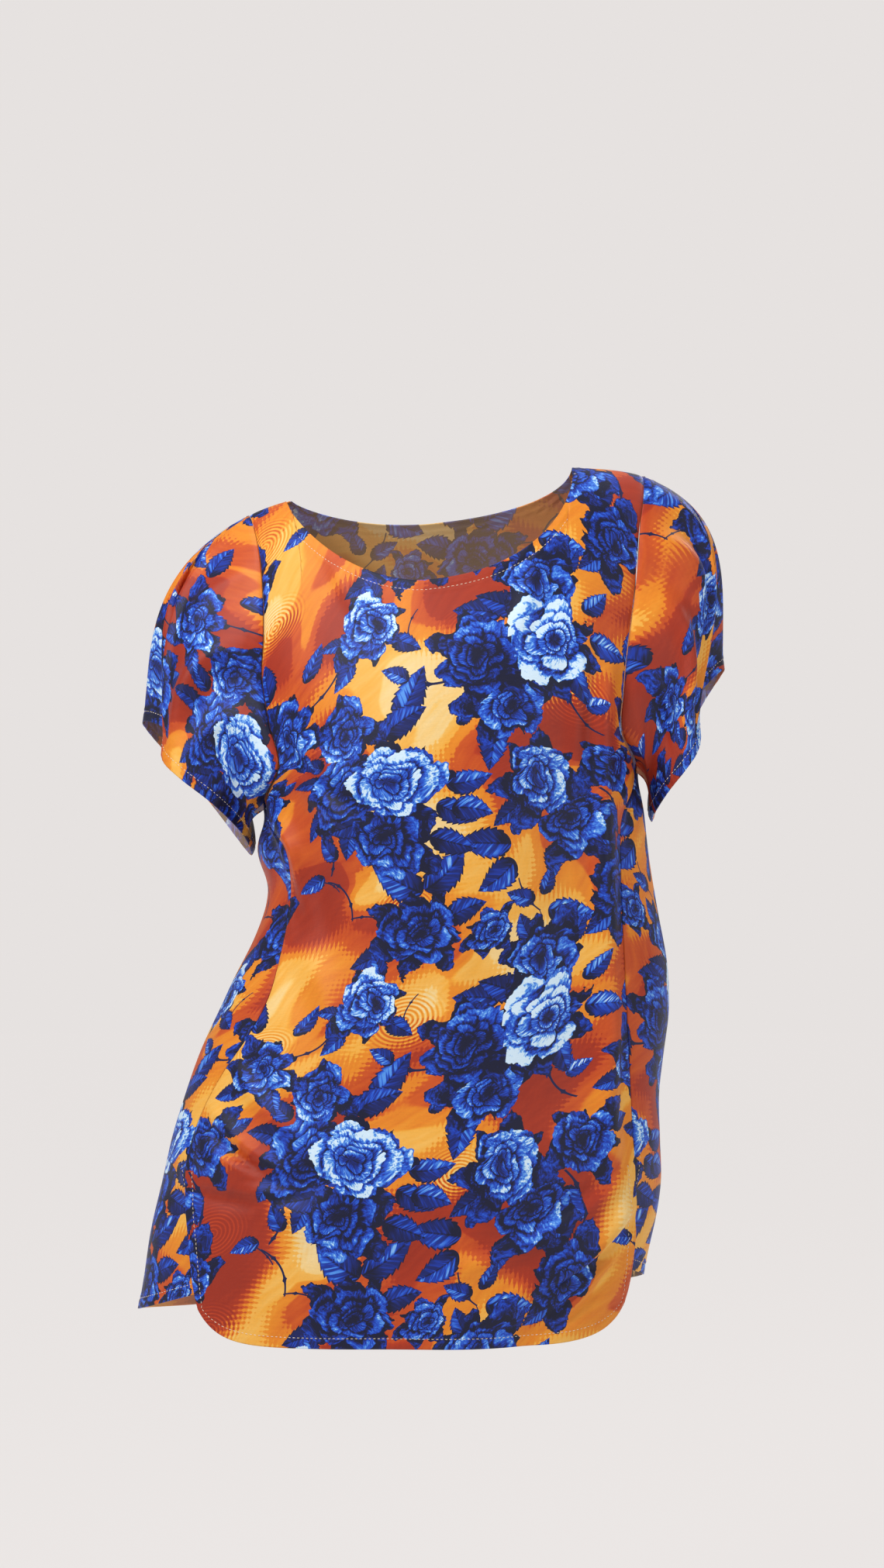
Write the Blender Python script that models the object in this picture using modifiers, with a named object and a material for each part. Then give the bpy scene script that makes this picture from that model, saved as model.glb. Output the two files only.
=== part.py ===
import math
import bmesh
import bpy

# Tunic top: front and back panels joined at the shoulders and down the sides to open slits,
# with a short wide sleeve sewn into each deep armhole. It keeps the hollow form it has when worn.
# Metres, +Z up, the front faces -Y. The origin lies in the shoulder line, midway along it in depth.

objectName = "tunic_top"
wallThickness = 0.0014
seamGap = 0.0003

# The shoulders slope across the body: the side at +X is carried higher, and the slope fades out
# by the hips.
crossTilt = 0.10
tiltFadeTop = -0.25
tiltFadeBottom = -0.60

# Least radius at which the cloth turns at a side seam, for the seam's gap
seamRadius = 0.10

# Squareness of the body's rings: 2 is an ellipse.
ringPower = 2.25

# Body rings, from the shoulder line to the hem. All but the turns are metres.
# mid, edge: height at the middle and at the side edges of a panel
# corner: how sharply the edge height takes over from the middle height
# left, right: the ring's widest points at the two sides
# front, back: depth of the ring before and behind the shoulder line
# frontLeft, frontRight: where the front panel's edges lie across the body
# backLeft, backRight: turn from the centre back to the back panel's edges in degrees, or None
# where the two panels meet in a side seam
ringColumns = (
    "mid", "edge", "corner", "left", "right", "front", "back",
    "frontLeft", "frontRight", "backLeft", "backRight",
)
ringRows = (
    (0.017, 0.000, 2.0, -0.158, 0.203, 0.000, 0.000, -0.143, 0.188, None, None),
    (0.013, -0.004, 2.0, -0.158, 0.205, 0.024, 0.022, -0.141, 0.189, 64, 64),
    (0.000, -0.020, 2.0, -0.158, 0.207, 0.047, 0.042, -0.136, 0.188, 62, 63),
    (-0.022, -0.044, 2.0, -0.158, 0.209, 0.068, 0.060, -0.131, 0.184, 60, 61),
    (-0.052, -0.074, 2.0, -0.158, 0.209, 0.086, 0.074, -0.128, 0.181, 60, 60),
    (-0.090, -0.108, 2.0, -0.157, 0.207, 0.101, 0.086, -0.127, 0.177, 61, 61),
    (-0.130, -0.142, 2.0, -0.154, 0.203, 0.113, 0.094, -0.128, 0.172, 65, 65),
    (-0.172, -0.179, 2.0, -0.148, 0.197, 0.121, 0.099, -0.122, 0.168, 73, 73),
    (-0.214, -0.217, 2.0, -0.137, 0.188, 0.125, 0.100, -0.114, 0.167, 85, 85),
    (-0.250, -0.250, 2.0, -0.131, 0.184, 0.124, 0.099, -0.127, 0.180, None, None),
    (-0.282, -0.282, 2.0, -0.132, 0.189, 0.121, 0.096, -0.110, 0.168, None, None),
    (-0.320, -0.320, 2.0, -0.123, 0.193, 0.117, 0.093, -0.105, 0.166, None, None),
    (-0.362, -0.362, 2.0, -0.134, 0.201, 0.113, 0.093, -0.111, 0.167, None, None),
    (-0.404, -0.404, 2.0, -0.156, 0.209, 0.111, 0.096, -0.121, 0.169, None, None),
    (-0.440, -0.440, 2.0, -0.174, 0.210, 0.112, 0.101, -0.139, 0.171, None, None),
    (-0.472, -0.472, 2.0, -0.187, 0.206, 0.114, 0.106, -0.160, 0.173, None, None),
    (-0.505, -0.505, 2.0, -0.198, 0.202, 0.116, 0.110, -0.177, 0.175, None, None),
    (-0.540, -0.538, 2.0, -0.208, 0.203, 0.119, 0.113, -0.188, 0.177, None, None),
    (-0.580, -0.576, 3.0, -0.217, 0.204, 0.121, 0.115, -0.190, 0.178, None, None),
    (-0.620, -0.612, 4.0, -0.225, 0.200, 0.122, 0.116, -0.187, 0.178, None, None),
    (-0.660, -0.645, 5.0, -0.231, 0.194, 0.122, 0.116, -0.183, 0.175, None, None),
    (-0.692, -0.666, 7.0, -0.236, 0.189, 0.121, 0.115, -0.178, 0.170, None, None),
)
underarmRow = 9
slitRow = 17
hemRow = len(ringRows) - 1

# Below the slit's top the back panel's forward edge passes inside the front panel's edge: how
# far in, how much further round in degrees, and the rows over which each comes in.
slitTuck = 0.009
slitLap = 5.0
tuckRows = 1.5
lapDelay = 0.7

# The back's hem is a rounded tail: how far it rises at the slits, and how it slopes across.
backHemRise = 0.025
backHemSlope = 0.05

# Extra parting of the outer faces at the shoulder seam, so that the inner faces clear each other
shoulderParting = 0.0004

# Neck opening: where it meets the shoulder line, how deep it is cut, and its roundness each side.
neckLeft = -0.113
neckRight = 0.129
frontNeckDepth = 0.090
backNeckDepth = 0.030
neckRoundLeft = (1.8, 0.75)
neckRoundRight = (2.3, 0.50)

# Large soft folds: a ridge where the height is positive, a trough where it is negative.
# x and z are the ends of each fold's crest, spread is its half width, all in metres.
foldColumns = ("x1", "z1", "x2", "z2", "height", "spread")
frontFolds = (
    (0.150, -0.190, 0.158, -0.520, 0.006, 0.020),
    (0.118, -0.230, 0.130, -0.470, -0.004, 0.022),
    (-0.098, -0.215, -0.075, -0.350, -0.006, 0.020),
    (-0.070, -0.240, -0.035, -0.420, 0.004, 0.026),
    (-0.170, -0.545, -0.090, -0.590, 0.004, 0.012),
    (-0.172, -0.575, -0.085, -0.560, -0.003, 0.011),
    (0.165, -0.590, 0.075, -0.655, 0.005, 0.013),
    (0.160, -0.625, 0.090, -0.685, -0.003, 0.011),
    (-0.050, -0.300, -0.030, -0.660, -0.003, 0.030),
    (0.060, -0.300, 0.045, -0.660, 0.003, 0.032),
)
backFolds = (
    (-0.130, -0.300, -0.175, -0.660, 0.005, 0.024),
    (-0.080, -0.260, -0.105, -0.670, -0.006, 0.024),
    (-0.015, -0.200, -0.030, -0.670, 0.006, 0.028),
    (0.055, -0.240, 0.050, -0.670, -0.006, 0.024),
    (0.120, -0.260, 0.130, -0.660, 0.006, 0.024),
    (-0.060, -0.110, 0.075, -0.130, -0.003, 0.018),
)

# The folds die out towards a panel's side edges over this share of its half width.
foldFade = 0.14

# Sleeve cuffs, a closed loop from the top, forwards and down to the underarm and up the back.
# turn: place round the sleeve, 0 at the shoulder and 0.5 at the underarm
cuffColumns = ("turn", "x", "y", "z")
leftCuff = (
    (0.00, -0.214, 0.000, -0.194),
    (0.07, -0.212, -0.030, -0.207),
    (0.14, -0.210, -0.052, -0.222),
    (0.24, -0.194, -0.068, -0.237),
    (0.37, -0.168, -0.060, -0.258),
    (0.50, -0.147, -0.012, -0.284),
    (0.62, -0.145, 0.034, -0.301),
    (0.74, -0.182, 0.066, -0.257),
    (0.85, -0.222, 0.070, -0.212),
    (0.93, -0.238, 0.040, -0.188),
)
rightCuff = (
    (0.00, 0.234, 0.000, -0.168),
    (0.07, 0.233, -0.030, -0.186),
    (0.14, 0.232, -0.052, -0.209),
    (0.24, 0.220, -0.066, -0.228),
    (0.37, 0.205, -0.058, -0.248),
    (0.50, 0.197, -0.012, -0.267),
    (0.62, 0.201, 0.034, -0.270),
    (0.74, 0.218, 0.064, -0.226),
    (0.85, 0.246, 0.068, -0.172),
    (0.93, 0.262, 0.040, -0.142),
)
# How far the cloth runs on outwards from the armhole before it turns down, as a share of its length.
capFullness = 1.6
cuffFlare = 0.85

# Mesh density. A narrow first strip along each seam keeps the walls there square to the cloth.
armholeSteps = 14
bodySteps = 18
panelSteps = 24
sleeveSteps = 7
seamStrip = 0.015
neckCutSteps = 16
neckCutDepth = 0.15

frontColour = (0.62, 0.26, 0.07, 1.0)
backColour = (0.58, 0.23, 0.06, 1.0)
sleeveColour = (0.50, 0.12, 0.04, 1.0)
clothRoughness = 0.48


def curveShape(value):
    # Height of the ring's curve for a sine or cosine, kept with its sign
    return math.copysign(abs(value) ** (2.0 / ringPower), value)


def catmull(points, place):
    # Smooth value between the entries of a list, through every entry
    last = len(points) - 1
    place = min(max(place, 0.0), float(last))
    i = min(int(place), last - 1)
    f = place - i
    a = points[max(i - 1, 0)]
    b = points[i]
    c = points[i + 1]
    d = points[min(i + 2, last)]
    slope1 = (c - a) * 0.5
    slope2 = (d - b) * 0.5
    h1 = 2 * f ** 3 - 3 * f ** 2 + 1
    h2 = f ** 3 - 2 * f ** 2 + f
    h3 = -2 * f ** 3 + 3 * f ** 2
    h4 = f ** 3 - f ** 2
    return b * h1 + slope1 * h2 + c * h3 + slope2 * h4


def edgeTurn(share):
    # Turn from the centre front at which a ring reaches this share of its half width
    return math.asin(min(1.0, abs(share)) ** (ringPower / 2.0))


def ringTables():
    # One list for each named column, with the panels' edges worked out as turns
    table = {name: [row[i] for row in ringRows] for i, name in enumerate(ringColumns)}
    table["turnLeft"] = []
    table["turnRight"] = []
    for i in range(len(ringRows)):
        middle = (table["left"][i] + table["right"][i]) / 2
        half = (table["right"][i] - table["left"][i]) / 2
        table["turnLeft"].append(edgeTurn((middle - table["frontLeft"][i]) / half))
        table["turnRight"].append(edgeTurn((table["frontRight"][i] - middle) / half))
    for front, back in (("turnLeft", "backLeft"), ("turnRight", "backRight")):
        turns = [table[front][0]]
        turns += [math.radians(given) for given in table[back][1:underarmRow]]
        turns.append(math.pi - table[front][underarmRow])
        table[back] = turns
    return table


rings = ringTables()


def ringValue(name, row):
    return catmull(rings[name], row)


def edgeAngle(side, row, a):
    # Turn of a panel's edge, from the centre front or the centre back
    end = "Left" if a < 0 else "Right"
    if side == "front":
        return ringValue("turn" + end, row)
    if row < underarmRow:
        return ringValue("back" + end, row)
    lap = math.radians(slitLap) * smoothStep((row - slitRow - lapDelay) / tuckRows)
    return math.pi - ringValue("turn" + end, row) + lap


def smoothStep(value):
    value = min(max(value, 0.0), 1.0)
    return value * value * (3 - 2 * value)


def tilted(x, z):
    fade = smoothStep((z - tiltFadeBottom) / (tiltFadeTop - tiltFadeBottom))
    return z + crossTilt * x * fade


def foldHeight(folds, x, z):
    # Sum of the soft folds at a place on the panel, as a distance outwards
    total = 0.0
    for row in folds:
        fold = dict(zip(foldColumns, row))
        dx = fold["x2"] - fold["x1"]
        dz = fold["z2"] - fold["z1"]
        length = math.hypot(dx, dz)
        along = ((x - fold["x1"]) * dx + (z - fold["z1"]) * dz) / length
        across = ((x - fold["x1"]) * dz - (z - fold["z1"]) * dx) / length
        reach = fold["spread"] * 1.6
        beyond = max(-along, along - length, 0.0) / reach
        total += fold["height"] * math.exp(-(across / fold["spread"]) ** 2 - beyond ** 2)
    return total


def bodyPoint(side, row, a):
    # Point on a panel's outer face: row 0 is the shoulder line and hemRow the hem, and a runs
    # from -1 at the left edge of the panel to 1 at its right edge
    middle = (ringValue("left", row) + ringValue("right", row)) / 2
    half = (ringValue("right", row) - ringValue("left", row)) / 2
    turn = edgeAngle(side, row, a) - seamGap * 0.5 / seamRadius
    if side == "front":
        angle = a * turn
        depth = -ringValue("front", row)
    else:
        angle = math.copysign(math.pi, a) - a * turn
        depth = -ringValue("front", row) if abs(angle) < math.pi / 2 else ringValue("back", row)
    sine = curveShape(math.sin(angle))
    cosine = abs(curveShape(math.cos(angle)))
    x = middle + half * sine
    parting = (seamGap * 0.5 + shoulderParting) * max(0.0, 1 - row)
    y = depth * cosine + (-parting if side == "front" else parting)
    z = ringValue("mid", row)
    rise = ringValue("edge", row) - z
    if side == "front":
        z += rise * abs(a) ** ringValue("corner", row)
    else:
        tail = smoothStep((row - slitRow) / (hemRow - slitRow))
        z += (rise + backHemRise * tail) * a * a + backHemSlope * x * tail
    folds = frontFolds if side == "front" else backFolds
    lift = foldHeight(folds, x, z) * smoothStep((1 - abs(a)) / foldFade) * smoothStep(row / 2.0)
    if side == "back" and row > slitRow and abs(angle) < math.pi / 2:
        share = (math.pi / 2 - abs(angle)) / (turn - math.pi / 2)
        lift -= slitTuck * smoothStep((row - slitRow) / tuckRows) * smoothStep(share * 1.3)
    outX = sine * 0.6
    outY = math.copysign(cosine, depth) if depth else 0.0
    size = math.hypot(outX, outY) or 1.0
    return (x + lift * outX / size, y + lift * outY / size, tilted(x, z))


def neckHeight(x, depth):
    # Height of the neck edge across the body, before the shoulders' slope
    middle = (neckLeft + neckRight) / 2
    share = (x - middle) / ((neckRight - neckLeft) / 2)
    power, round1 = neckRoundLeft if share < 0 else neckRoundRight
    fill = max(0.0, 1 - abs(share) ** power) ** round1
    return ringRows[0][0] - 0.004 - depth * fill


def spread(start, end, steps):
    return [start + (end - start) * i / steps for i in range(steps + 1)]


def panelRows():
    upper = spread(0.0, underarmRow, armholeSteps)
    lower = spread(underarmRow, hemRow, bodySteps)
    return upper[:1] + [upper[1] * 0.25] + upper[1:] + lower[1:]


def panelColumns():
    inner = spread(-1.0, 1.0, panelSteps)
    return inner[:1] + [seamStrip - 1.0] + inner[1:-1] + [1.0 - seamStrip] + inner[-1:]


def panelGrid(side):
    return [[bodyPoint(side, row, a) for row in panelRows()] for a in panelColumns()]


def neckCutter(name, side):
    # Prism through one panel, with the neck edge as its lower outline
    depth = frontNeckDepth if side == "front" else backNeckDepth
    reach = -neckCutDepth if side == "front" else neckCutDepth
    outline = [(neckLeft, neckCutDepth)]
    for turn in spread(-math.pi / 2, math.pi / 2, neckCutSteps):
        x = (neckLeft + neckRight) / 2 + (neckRight - neckLeft) / 2 * math.sin(turn)
        outline.append((x, tilted(x, neckHeight(x, depth))))
    outline.append((neckRight, neckCutDepth))
    build = bmesh.new()
    face = build.faces.new([build.verts.new((x, -reach * 0.1, z)) for x, z in outline])
    grown = bmesh.ops.extrude_face_region(build, geom=[face])
    moved = [item for item in grown["geom"] if isinstance(item, bmesh.types.BMVert)]
    bmesh.ops.translate(build, verts=moved, vec=(0, reach * 1.1, 0))
    bmesh.ops.recalc_face_normals(build, faces=build.faces)
    mesh = bpy.data.meshes.new(name)
    build.to_mesh(mesh)
    build.free()
    cutter = bpy.data.objects.new(name, mesh)
    cutters.objects.link(cutter)
    cutter.hide_render = True
    cutter.display_type = "WIRE"
    return cutter


def newObject(name, vertices, faces, colour):
    mesh = bpy.data.meshes.new(name)
    mesh.from_pydata(vertices, [], faces)
    mesh.update()
    piece = bpy.data.objects.new(name, mesh)
    collection.objects.link(piece)
    wall = piece.modifiers.new("wall", "SOLIDIFY")
    wall.thickness = wallThickness
    wall.offset = -1
    material = bpy.data.materials.new(name)
    material.use_nodes = True
    shader = material.node_tree.nodes["Principled BSDF"]
    shader.inputs["Base Color"].default_value = colour
    shader.inputs["Roughness"].default_value = clothRoughness
    shader.inputs["Metallic"].default_value = 0.0
    mesh.materials.append(material)
    mesh.shade_smooth()
    return piece


def makePanel(name, side, colour):
    grid = panelGrid(side)
    columns = len(grid)
    rows = len(grid[0])
    vertices = [point for column in grid for point in column]
    faces = []
    for c in range(columns - 1):
        for r in range(rows - 1):
            corner = c * rows + r
            face = (corner, corner + 1, corner + rows + 1, corner + rows)
            faces.append(face if side == "front" else face[::-1])
    piece = newObject(name, vertices, faces, colour)
    cut = piece.modifiers.new("neck", "BOOLEAN")
    cut.operation = "DIFFERENCE"
    cut.solver = "EXACT"
    cut.object = neckCutter(name + "_neck_cut", side)
    return piece


def cuffPoint(cuff, turn):
    # Smooth closed loop through the cuff's named points
    count = len(cuff)
    turns = [row[0] for row in cuff] + [1.0]
    i = max(k for k in range(count) if turns[k] <= turn + 1e-9)
    f = (turn - turns[i]) / (turns[i + 1] - turns[i])
    picked = [cuff[(i + k) % count] for k in (-1, 0, 1, 2)]
    point = []
    for axis in (1, 2, 3):
        values = [row[axis] for row in picked]
        point.append(catmull(values, 1 + f))
    return point


def unit(vector):
    size = math.sqrt(sum(v * v for v in vector)) or 1.0
    return [v / size for v in vector]


def armholeLoop(edge):
    # Points on the armhole with the way the cloth runs on from the panels there.
    # edge is -1 for the sleeve at -X and 1 for the one at +X
    loop = []
    rows = [row for row in panelRows() if row <= underarmRow + 1e-6]
    last = len(rows) - 1
    order = [("front", i) for i in range(last + 1)]
    order += [("back", i) for i in range(last - 1, 0, -1)]
    for side, i in order:
        here = bodyPoint(side, rows[i], float(edge))
        inner = bodyPoint(side, rows[i], edge * (1 - seamStrip))
        along = unit([h - n for h, n in zip(here, inner)])
        if i in (0, last):
            other = bodyPoint("back", rows[i], float(edge))
            here = [(h + o) / 2 for h, o in zip(here, other)]
            along = unit((along[0], 0.0, along[2])) if i == 0 else [0.0, 0.0, 0.0]
        loop.append((here, along))
    return loop


def sleevePoint(start, along, cuff, turn, edge, s):
    # Point between the armhole and the cuff: it runs on from the panel, then turns down
    end = cuffPoint(cuff, turn)
    low = 0.5 - 0.5 * math.cos(2 * math.pi * turn)
    outward = unit((edge * 1.0, 0.0, -0.30 - 0.10 * low))
    keep = 1 - 0.9 * smoothStep(low * 2.2)
    leave = unit([keep * p + (1 - keep) * q for p, q in zip(along, outward)])
    arrive = unit((edge * (0.10 + 0.55 * low), 0.0, -1.0))
    length = math.dist(start, end)
    full = capFullness - 0.55 * low
    h1 = 2 * s ** 3 - 3 * s ** 2 + 1
    h2 = s ** 3 - 2 * s ** 2 + s
    h3 = -2 * s ** 3 + 3 * s ** 2
    h4 = s ** 3 - s ** 2
    point = []
    for axis in range(3):
        first = start[axis] + leave[axis] * seamGap
        value = first * h1 + leave[axis] * length * full * h2
        value += end[axis] * h3 + arrive[axis] * length * cuffFlare * h4
        point.append(value)
    return point


def makeSleeve(name, edge, cuff):
    loop = armholeLoop(edge)
    around = len(loop)
    vertices = []
    shares = spread(0.0, 1.0, sleeveSteps)
    shares.insert(1, shares[1] * 0.2)
    for share in shares:
        for j, (start, along) in enumerate(loop):
            vertices.append(sleevePoint(start, along, cuff, j / around, edge, share))
    faces = []
    for k in range(len(shares) - 1):
        for j in range(around):
            n = (j + 1) % around
            face = (k * around + j, k * around + n, (k + 1) * around + n, (k + 1) * around + j)
            faces.append(face if edge > 0 else face[::-1])
    return newObject(name, vertices, faces, sleeveColour)


for old in list(bpy.data.objects):
    bpy.data.objects.remove(old)
collection = bpy.data.collections.new(objectName)
bpy.context.scene.collection.children.link(collection)
cutters = bpy.data.collections.new("cutters")
bpy.context.scene.collection.children.link(cutters)

makePanel("front", "front", frontColour)
makePanel("back", "back", backColour)
makeSleeve("sleeve_left", -1, leftCuff)
makeSleeve("sleeve_right", 1, rightCuff)
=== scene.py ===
import math

import bmesh
import bpy
import numpy as np
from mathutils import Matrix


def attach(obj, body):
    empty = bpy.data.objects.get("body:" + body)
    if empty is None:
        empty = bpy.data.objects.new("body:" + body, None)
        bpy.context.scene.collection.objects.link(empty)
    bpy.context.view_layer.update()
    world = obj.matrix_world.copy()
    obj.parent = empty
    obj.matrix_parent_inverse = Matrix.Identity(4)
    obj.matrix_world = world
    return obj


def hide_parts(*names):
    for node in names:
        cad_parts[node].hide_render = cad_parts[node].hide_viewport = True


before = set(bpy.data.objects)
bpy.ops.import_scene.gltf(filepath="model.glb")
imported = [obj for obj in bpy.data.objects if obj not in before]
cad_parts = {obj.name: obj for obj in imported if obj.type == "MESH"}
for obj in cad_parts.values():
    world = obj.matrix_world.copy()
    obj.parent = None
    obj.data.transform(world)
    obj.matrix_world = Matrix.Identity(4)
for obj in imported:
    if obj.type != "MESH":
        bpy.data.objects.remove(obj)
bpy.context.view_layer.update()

# Printed satin tunic top in the hollow form it has when worn. Each panel and sleeve is a fine
# sheet laid on the form of its solid, with its creases, hems, stitching and printed cloth.

view = {
    "place": (0.0196, -2.2, -0.241),
    "lens": 59.9,
    "floorHeight": -1.12,
    "floorSize": 14.0,
    "skyColour": (0.955, 0.915, 0.900),
    "skyLight": 0.36,
    "skySeen": 0.83,
    "floorGlow": 0.795,
    "floorDark": (0.070, 0.067, 0.066, 1.0),
    "floorPale": (0.076, 0.073, 0.072, 1.0),
    "floorGrain": 3.0,
    "lampColour": (1.0, 0.98, 0.96),
}


def addCamera():
    data = bpy.data.cameras.new("camera")
    data.lens = view["lens"]
    data.sensor_width = 36.0
    camera = bpy.data.objects.new("camera", data)
    camera.location = view["place"]
    camera.rotation_euler = (math.radians(90), 0, 0)
    bpy.context.scene.collection.objects.link(camera)
    bpy.context.scene.camera = camera


addCamera()
bpy.context.scene.view_settings.view_transform = "Standard"

# the form that the cloth lies on, with the same rings as the solids

form = {
    "tilt": 0.10,
    "tiltTop": -0.25,
    "tiltBottom": -0.60,
    "seamGap": 0.0003,
    "seamRadius": 0.10,
    "power": 2.25,
    "underarm": 9,
    "slit": 17,
    "tuck": 0.009,
    "lap": 5.0,
    "tuckRows": 1.5,
    "lapDelay": 0.7,
    "tailRise": 0.025,
    "tailSlope": 0.05,
    "parting": 0.0004,
    "seamStrip": 0.015,
    "foldFade": 0.14,
    "foldRows": 2.0,
    "foldEnd": 1.6,
    "sideLift": 0.6,
    "tuckReach": 1.3,
}

ringNames = (
    "mid", "edge", "corner", "left", "right", "front", "back",
    "frontLeft", "frontRight", "backLeft", "backRight",
)
ringRows = (
    (0.017, 0.000, 2.0, -0.158, 0.203, 0.000, 0.000, -0.143, 0.188, None, None),
    (0.013, -0.004, 2.0, -0.158, 0.205, 0.024, 0.022, -0.141, 0.189, 64, 64),
    (0.000, -0.020, 2.0, -0.158, 0.207, 0.047, 0.042, -0.136, 0.188, 62, 63),
    (-0.022, -0.044, 2.0, -0.158, 0.209, 0.068, 0.060, -0.131, 0.184, 60, 61),
    (-0.052, -0.074, 2.0, -0.158, 0.209, 0.086, 0.074, -0.128, 0.181, 60, 60),
    (-0.090, -0.108, 2.0, -0.157, 0.207, 0.101, 0.086, -0.127, 0.177, 61, 61),
    (-0.130, -0.142, 2.0, -0.154, 0.203, 0.113, 0.094, -0.128, 0.172, 65, 65),
    (-0.172, -0.179, 2.0, -0.148, 0.197, 0.121, 0.099, -0.122, 0.168, 73, 73),
    (-0.214, -0.217, 2.0, -0.137, 0.188, 0.125, 0.100, -0.114, 0.167, 85, 85),
    (-0.250, -0.250, 2.0, -0.131, 0.184, 0.124, 0.099, -0.127, 0.180, None, None),
    (-0.282, -0.282, 2.0, -0.132, 0.189, 0.121, 0.096, -0.110, 0.168, None, None),
    (-0.320, -0.320, 2.0, -0.123, 0.193, 0.117, 0.093, -0.105, 0.166, None, None),
    (-0.362, -0.362, 2.0, -0.134, 0.201, 0.113, 0.093, -0.111, 0.167, None, None),
    (-0.404, -0.404, 2.0, -0.156, 0.209, 0.111, 0.096, -0.121, 0.169, None, None),
    (-0.440, -0.440, 2.0, -0.174, 0.210, 0.112, 0.101, -0.139, 0.171, None, None),
    (-0.472, -0.472, 2.0, -0.187, 0.206, 0.114, 0.106, -0.160, 0.173, None, None),
    (-0.505, -0.505, 2.0, -0.198, 0.202, 0.116, 0.110, -0.177, 0.175, None, None),
    (-0.540, -0.538, 2.0, -0.208, 0.203, 0.119, 0.113, -0.188, 0.177, None, None),
    (-0.580, -0.576, 3.0, -0.217, 0.204, 0.121, 0.115, -0.190, 0.178, None, None),
    (-0.620, -0.612, 4.0, -0.225, 0.200, 0.122, 0.116, -0.187, 0.178, None, None),
    (-0.660, -0.645, 5.0, -0.231, 0.194, 0.122, 0.116, -0.183, 0.175, None, None),
    (-0.692, -0.666, 7.0, -0.236, 0.189, 0.121, 0.115, -0.178, 0.170, None, None),
)
hemRow = len(ringRows) - 1

neck = {
    "left": -0.113,
    "right": 0.129,
    "front": 0.090,
    "back": 0.030,
    "roundLeft": (1.8, 0.75),
    "roundRight": (2.3, 0.50),
    "drop": 0.004,
}

# large folds shared with the solids: both ends of the crest, height, half width
frontFolds = (
    (0.150, -0.190, 0.158, -0.520, 0.006, 0.020),
    (0.118, -0.230, 0.130, -0.470, -0.004, 0.022),
    (-0.098, -0.215, -0.075, -0.350, -0.006, 0.020),
    (-0.070, -0.240, -0.035, -0.420, 0.004, 0.026),
    (-0.170, -0.545, -0.090, -0.590, 0.004, 0.012),
    (-0.172, -0.575, -0.085, -0.560, -0.003, 0.011),
    (0.165, -0.590, 0.075, -0.655, 0.005, 0.013),
    (0.160, -0.625, 0.090, -0.685, -0.003, 0.011),
    (-0.050, -0.300, -0.030, -0.660, -0.003, 0.030),
    (0.060, -0.300, 0.045, -0.660, 0.003, 0.032),
)
backFolds = (
    (-0.130, -0.300, -0.175, -0.660, 0.005, 0.024),
    (-0.080, -0.260, -0.105, -0.670, -0.006, 0.024),
    (-0.015, -0.200, -0.030, -0.670, 0.006, 0.028),
    (0.055, -0.240, 0.050, -0.670, -0.006, 0.024),
    (0.120, -0.260, 0.130, -0.660, 0.006, 0.024),
    (-0.060, -0.110, 0.075, -0.130, -0.003, 0.018),
)


def smoothStep(value):
    value = np.clip(value, 0.0, 1.0)
    return value * value * (3 - 2 * value)


def hermite(f):
    # weights of the first place, the way out of it, the last place and the way into it
    first = 2 * f ** 3 - 3 * f ** 2 + 1
    wayOut = f ** 3 - 2 * f ** 2 + f
    last = -2 * f ** 3 + 3 * f ** 2
    wayIn = f ** 3 - f ** 2
    return first, wayOut, last, wayIn


def catmull(points, place):
    points = np.asarray(points, float)
    last = len(points) - 1
    place = np.clip(place, 0.0, float(last))
    i = np.minimum(place.astype(int), last - 1)
    f = place - i
    a = points[np.maximum(i - 1, 0)]
    b = points[i]
    c = points[i + 1]
    d = points[np.minimum(i + 2, last)]
    first, wayOut, end, wayIn = hermite(f)
    return b * first + (c - a) * 0.5 * wayOut + c * end + (d - b) * 0.5 * wayIn


def edgeTurn(share):
    return math.asin(min(1.0, abs(share)) ** (form["power"] / 2.0))


def ringTables():
    table = {name: [row[i] for row in ringRows] for i, name in enumerate(ringNames)}
    table["turnLeft"] = []
    table["turnRight"] = []
    for i in range(len(ringRows)):
        middle = (table["left"][i] + table["right"][i]) / 2
        half = (table["right"][i] - table["left"][i]) / 2
        table["turnLeft"].append(edgeTurn((middle - table["frontLeft"][i]) / half))
        table["turnRight"].append(edgeTurn((table["frontRight"][i] - middle) / half))
    for front, back in (("turnLeft", "backLeft"), ("turnRight", "backRight")):
        turns = [table[front][0]]
        turns += [math.radians(given) for given in table[back][1:form["underarm"]]]
        turns.append(math.pi - table[front][form["underarm"]])
        table[back] = turns
    return table


rings = ringTables()


def ringValue(name, row):
    return catmull(rings[name], row)


def tilted(x, z):
    fade = smoothStep((z - form["tiltBottom"]) / (form["tiltTop"] - form["tiltBottom"]))
    return z + form["tilt"] * x * fade


def foldHeight(folds, x, z):
    total = np.zeros_like(x)
    for x1, z1, x2, z2, height, width in folds:
        dx = x2 - x1
        dz = z2 - z1
        length = math.hypot(dx, dz)
        along = ((x - x1) * dx + (z - z1) * dz) / length
        across = ((x - x1) * dz - (z - z1) * dx) / length
        beyond = np.maximum(np.maximum(-along, along - length), 0.0) / (width * form["foldEnd"])
        total = total + height * np.exp(-(across / width) ** 2 - beyond ** 2)
    return total


def edgeAngle(side, row, a):
    if side == "front":
        return np.where(a < 0, ringValue("turnLeft", row), ringValue("turnRight", row))
    upper = np.where(a < 0, ringValue("backLeft", row), ringValue("backRight", row))
    lap = math.radians(form["lap"]) * smoothStep(
        (row - form["slit"] - form["lapDelay"]) / form["tuckRows"])
    lower = np.where(a < 0, ringValue("turnLeft", row), ringValue("turnRight", row))
    return np.where(row < form["underarm"], upper, math.pi - lower + lap)


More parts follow.
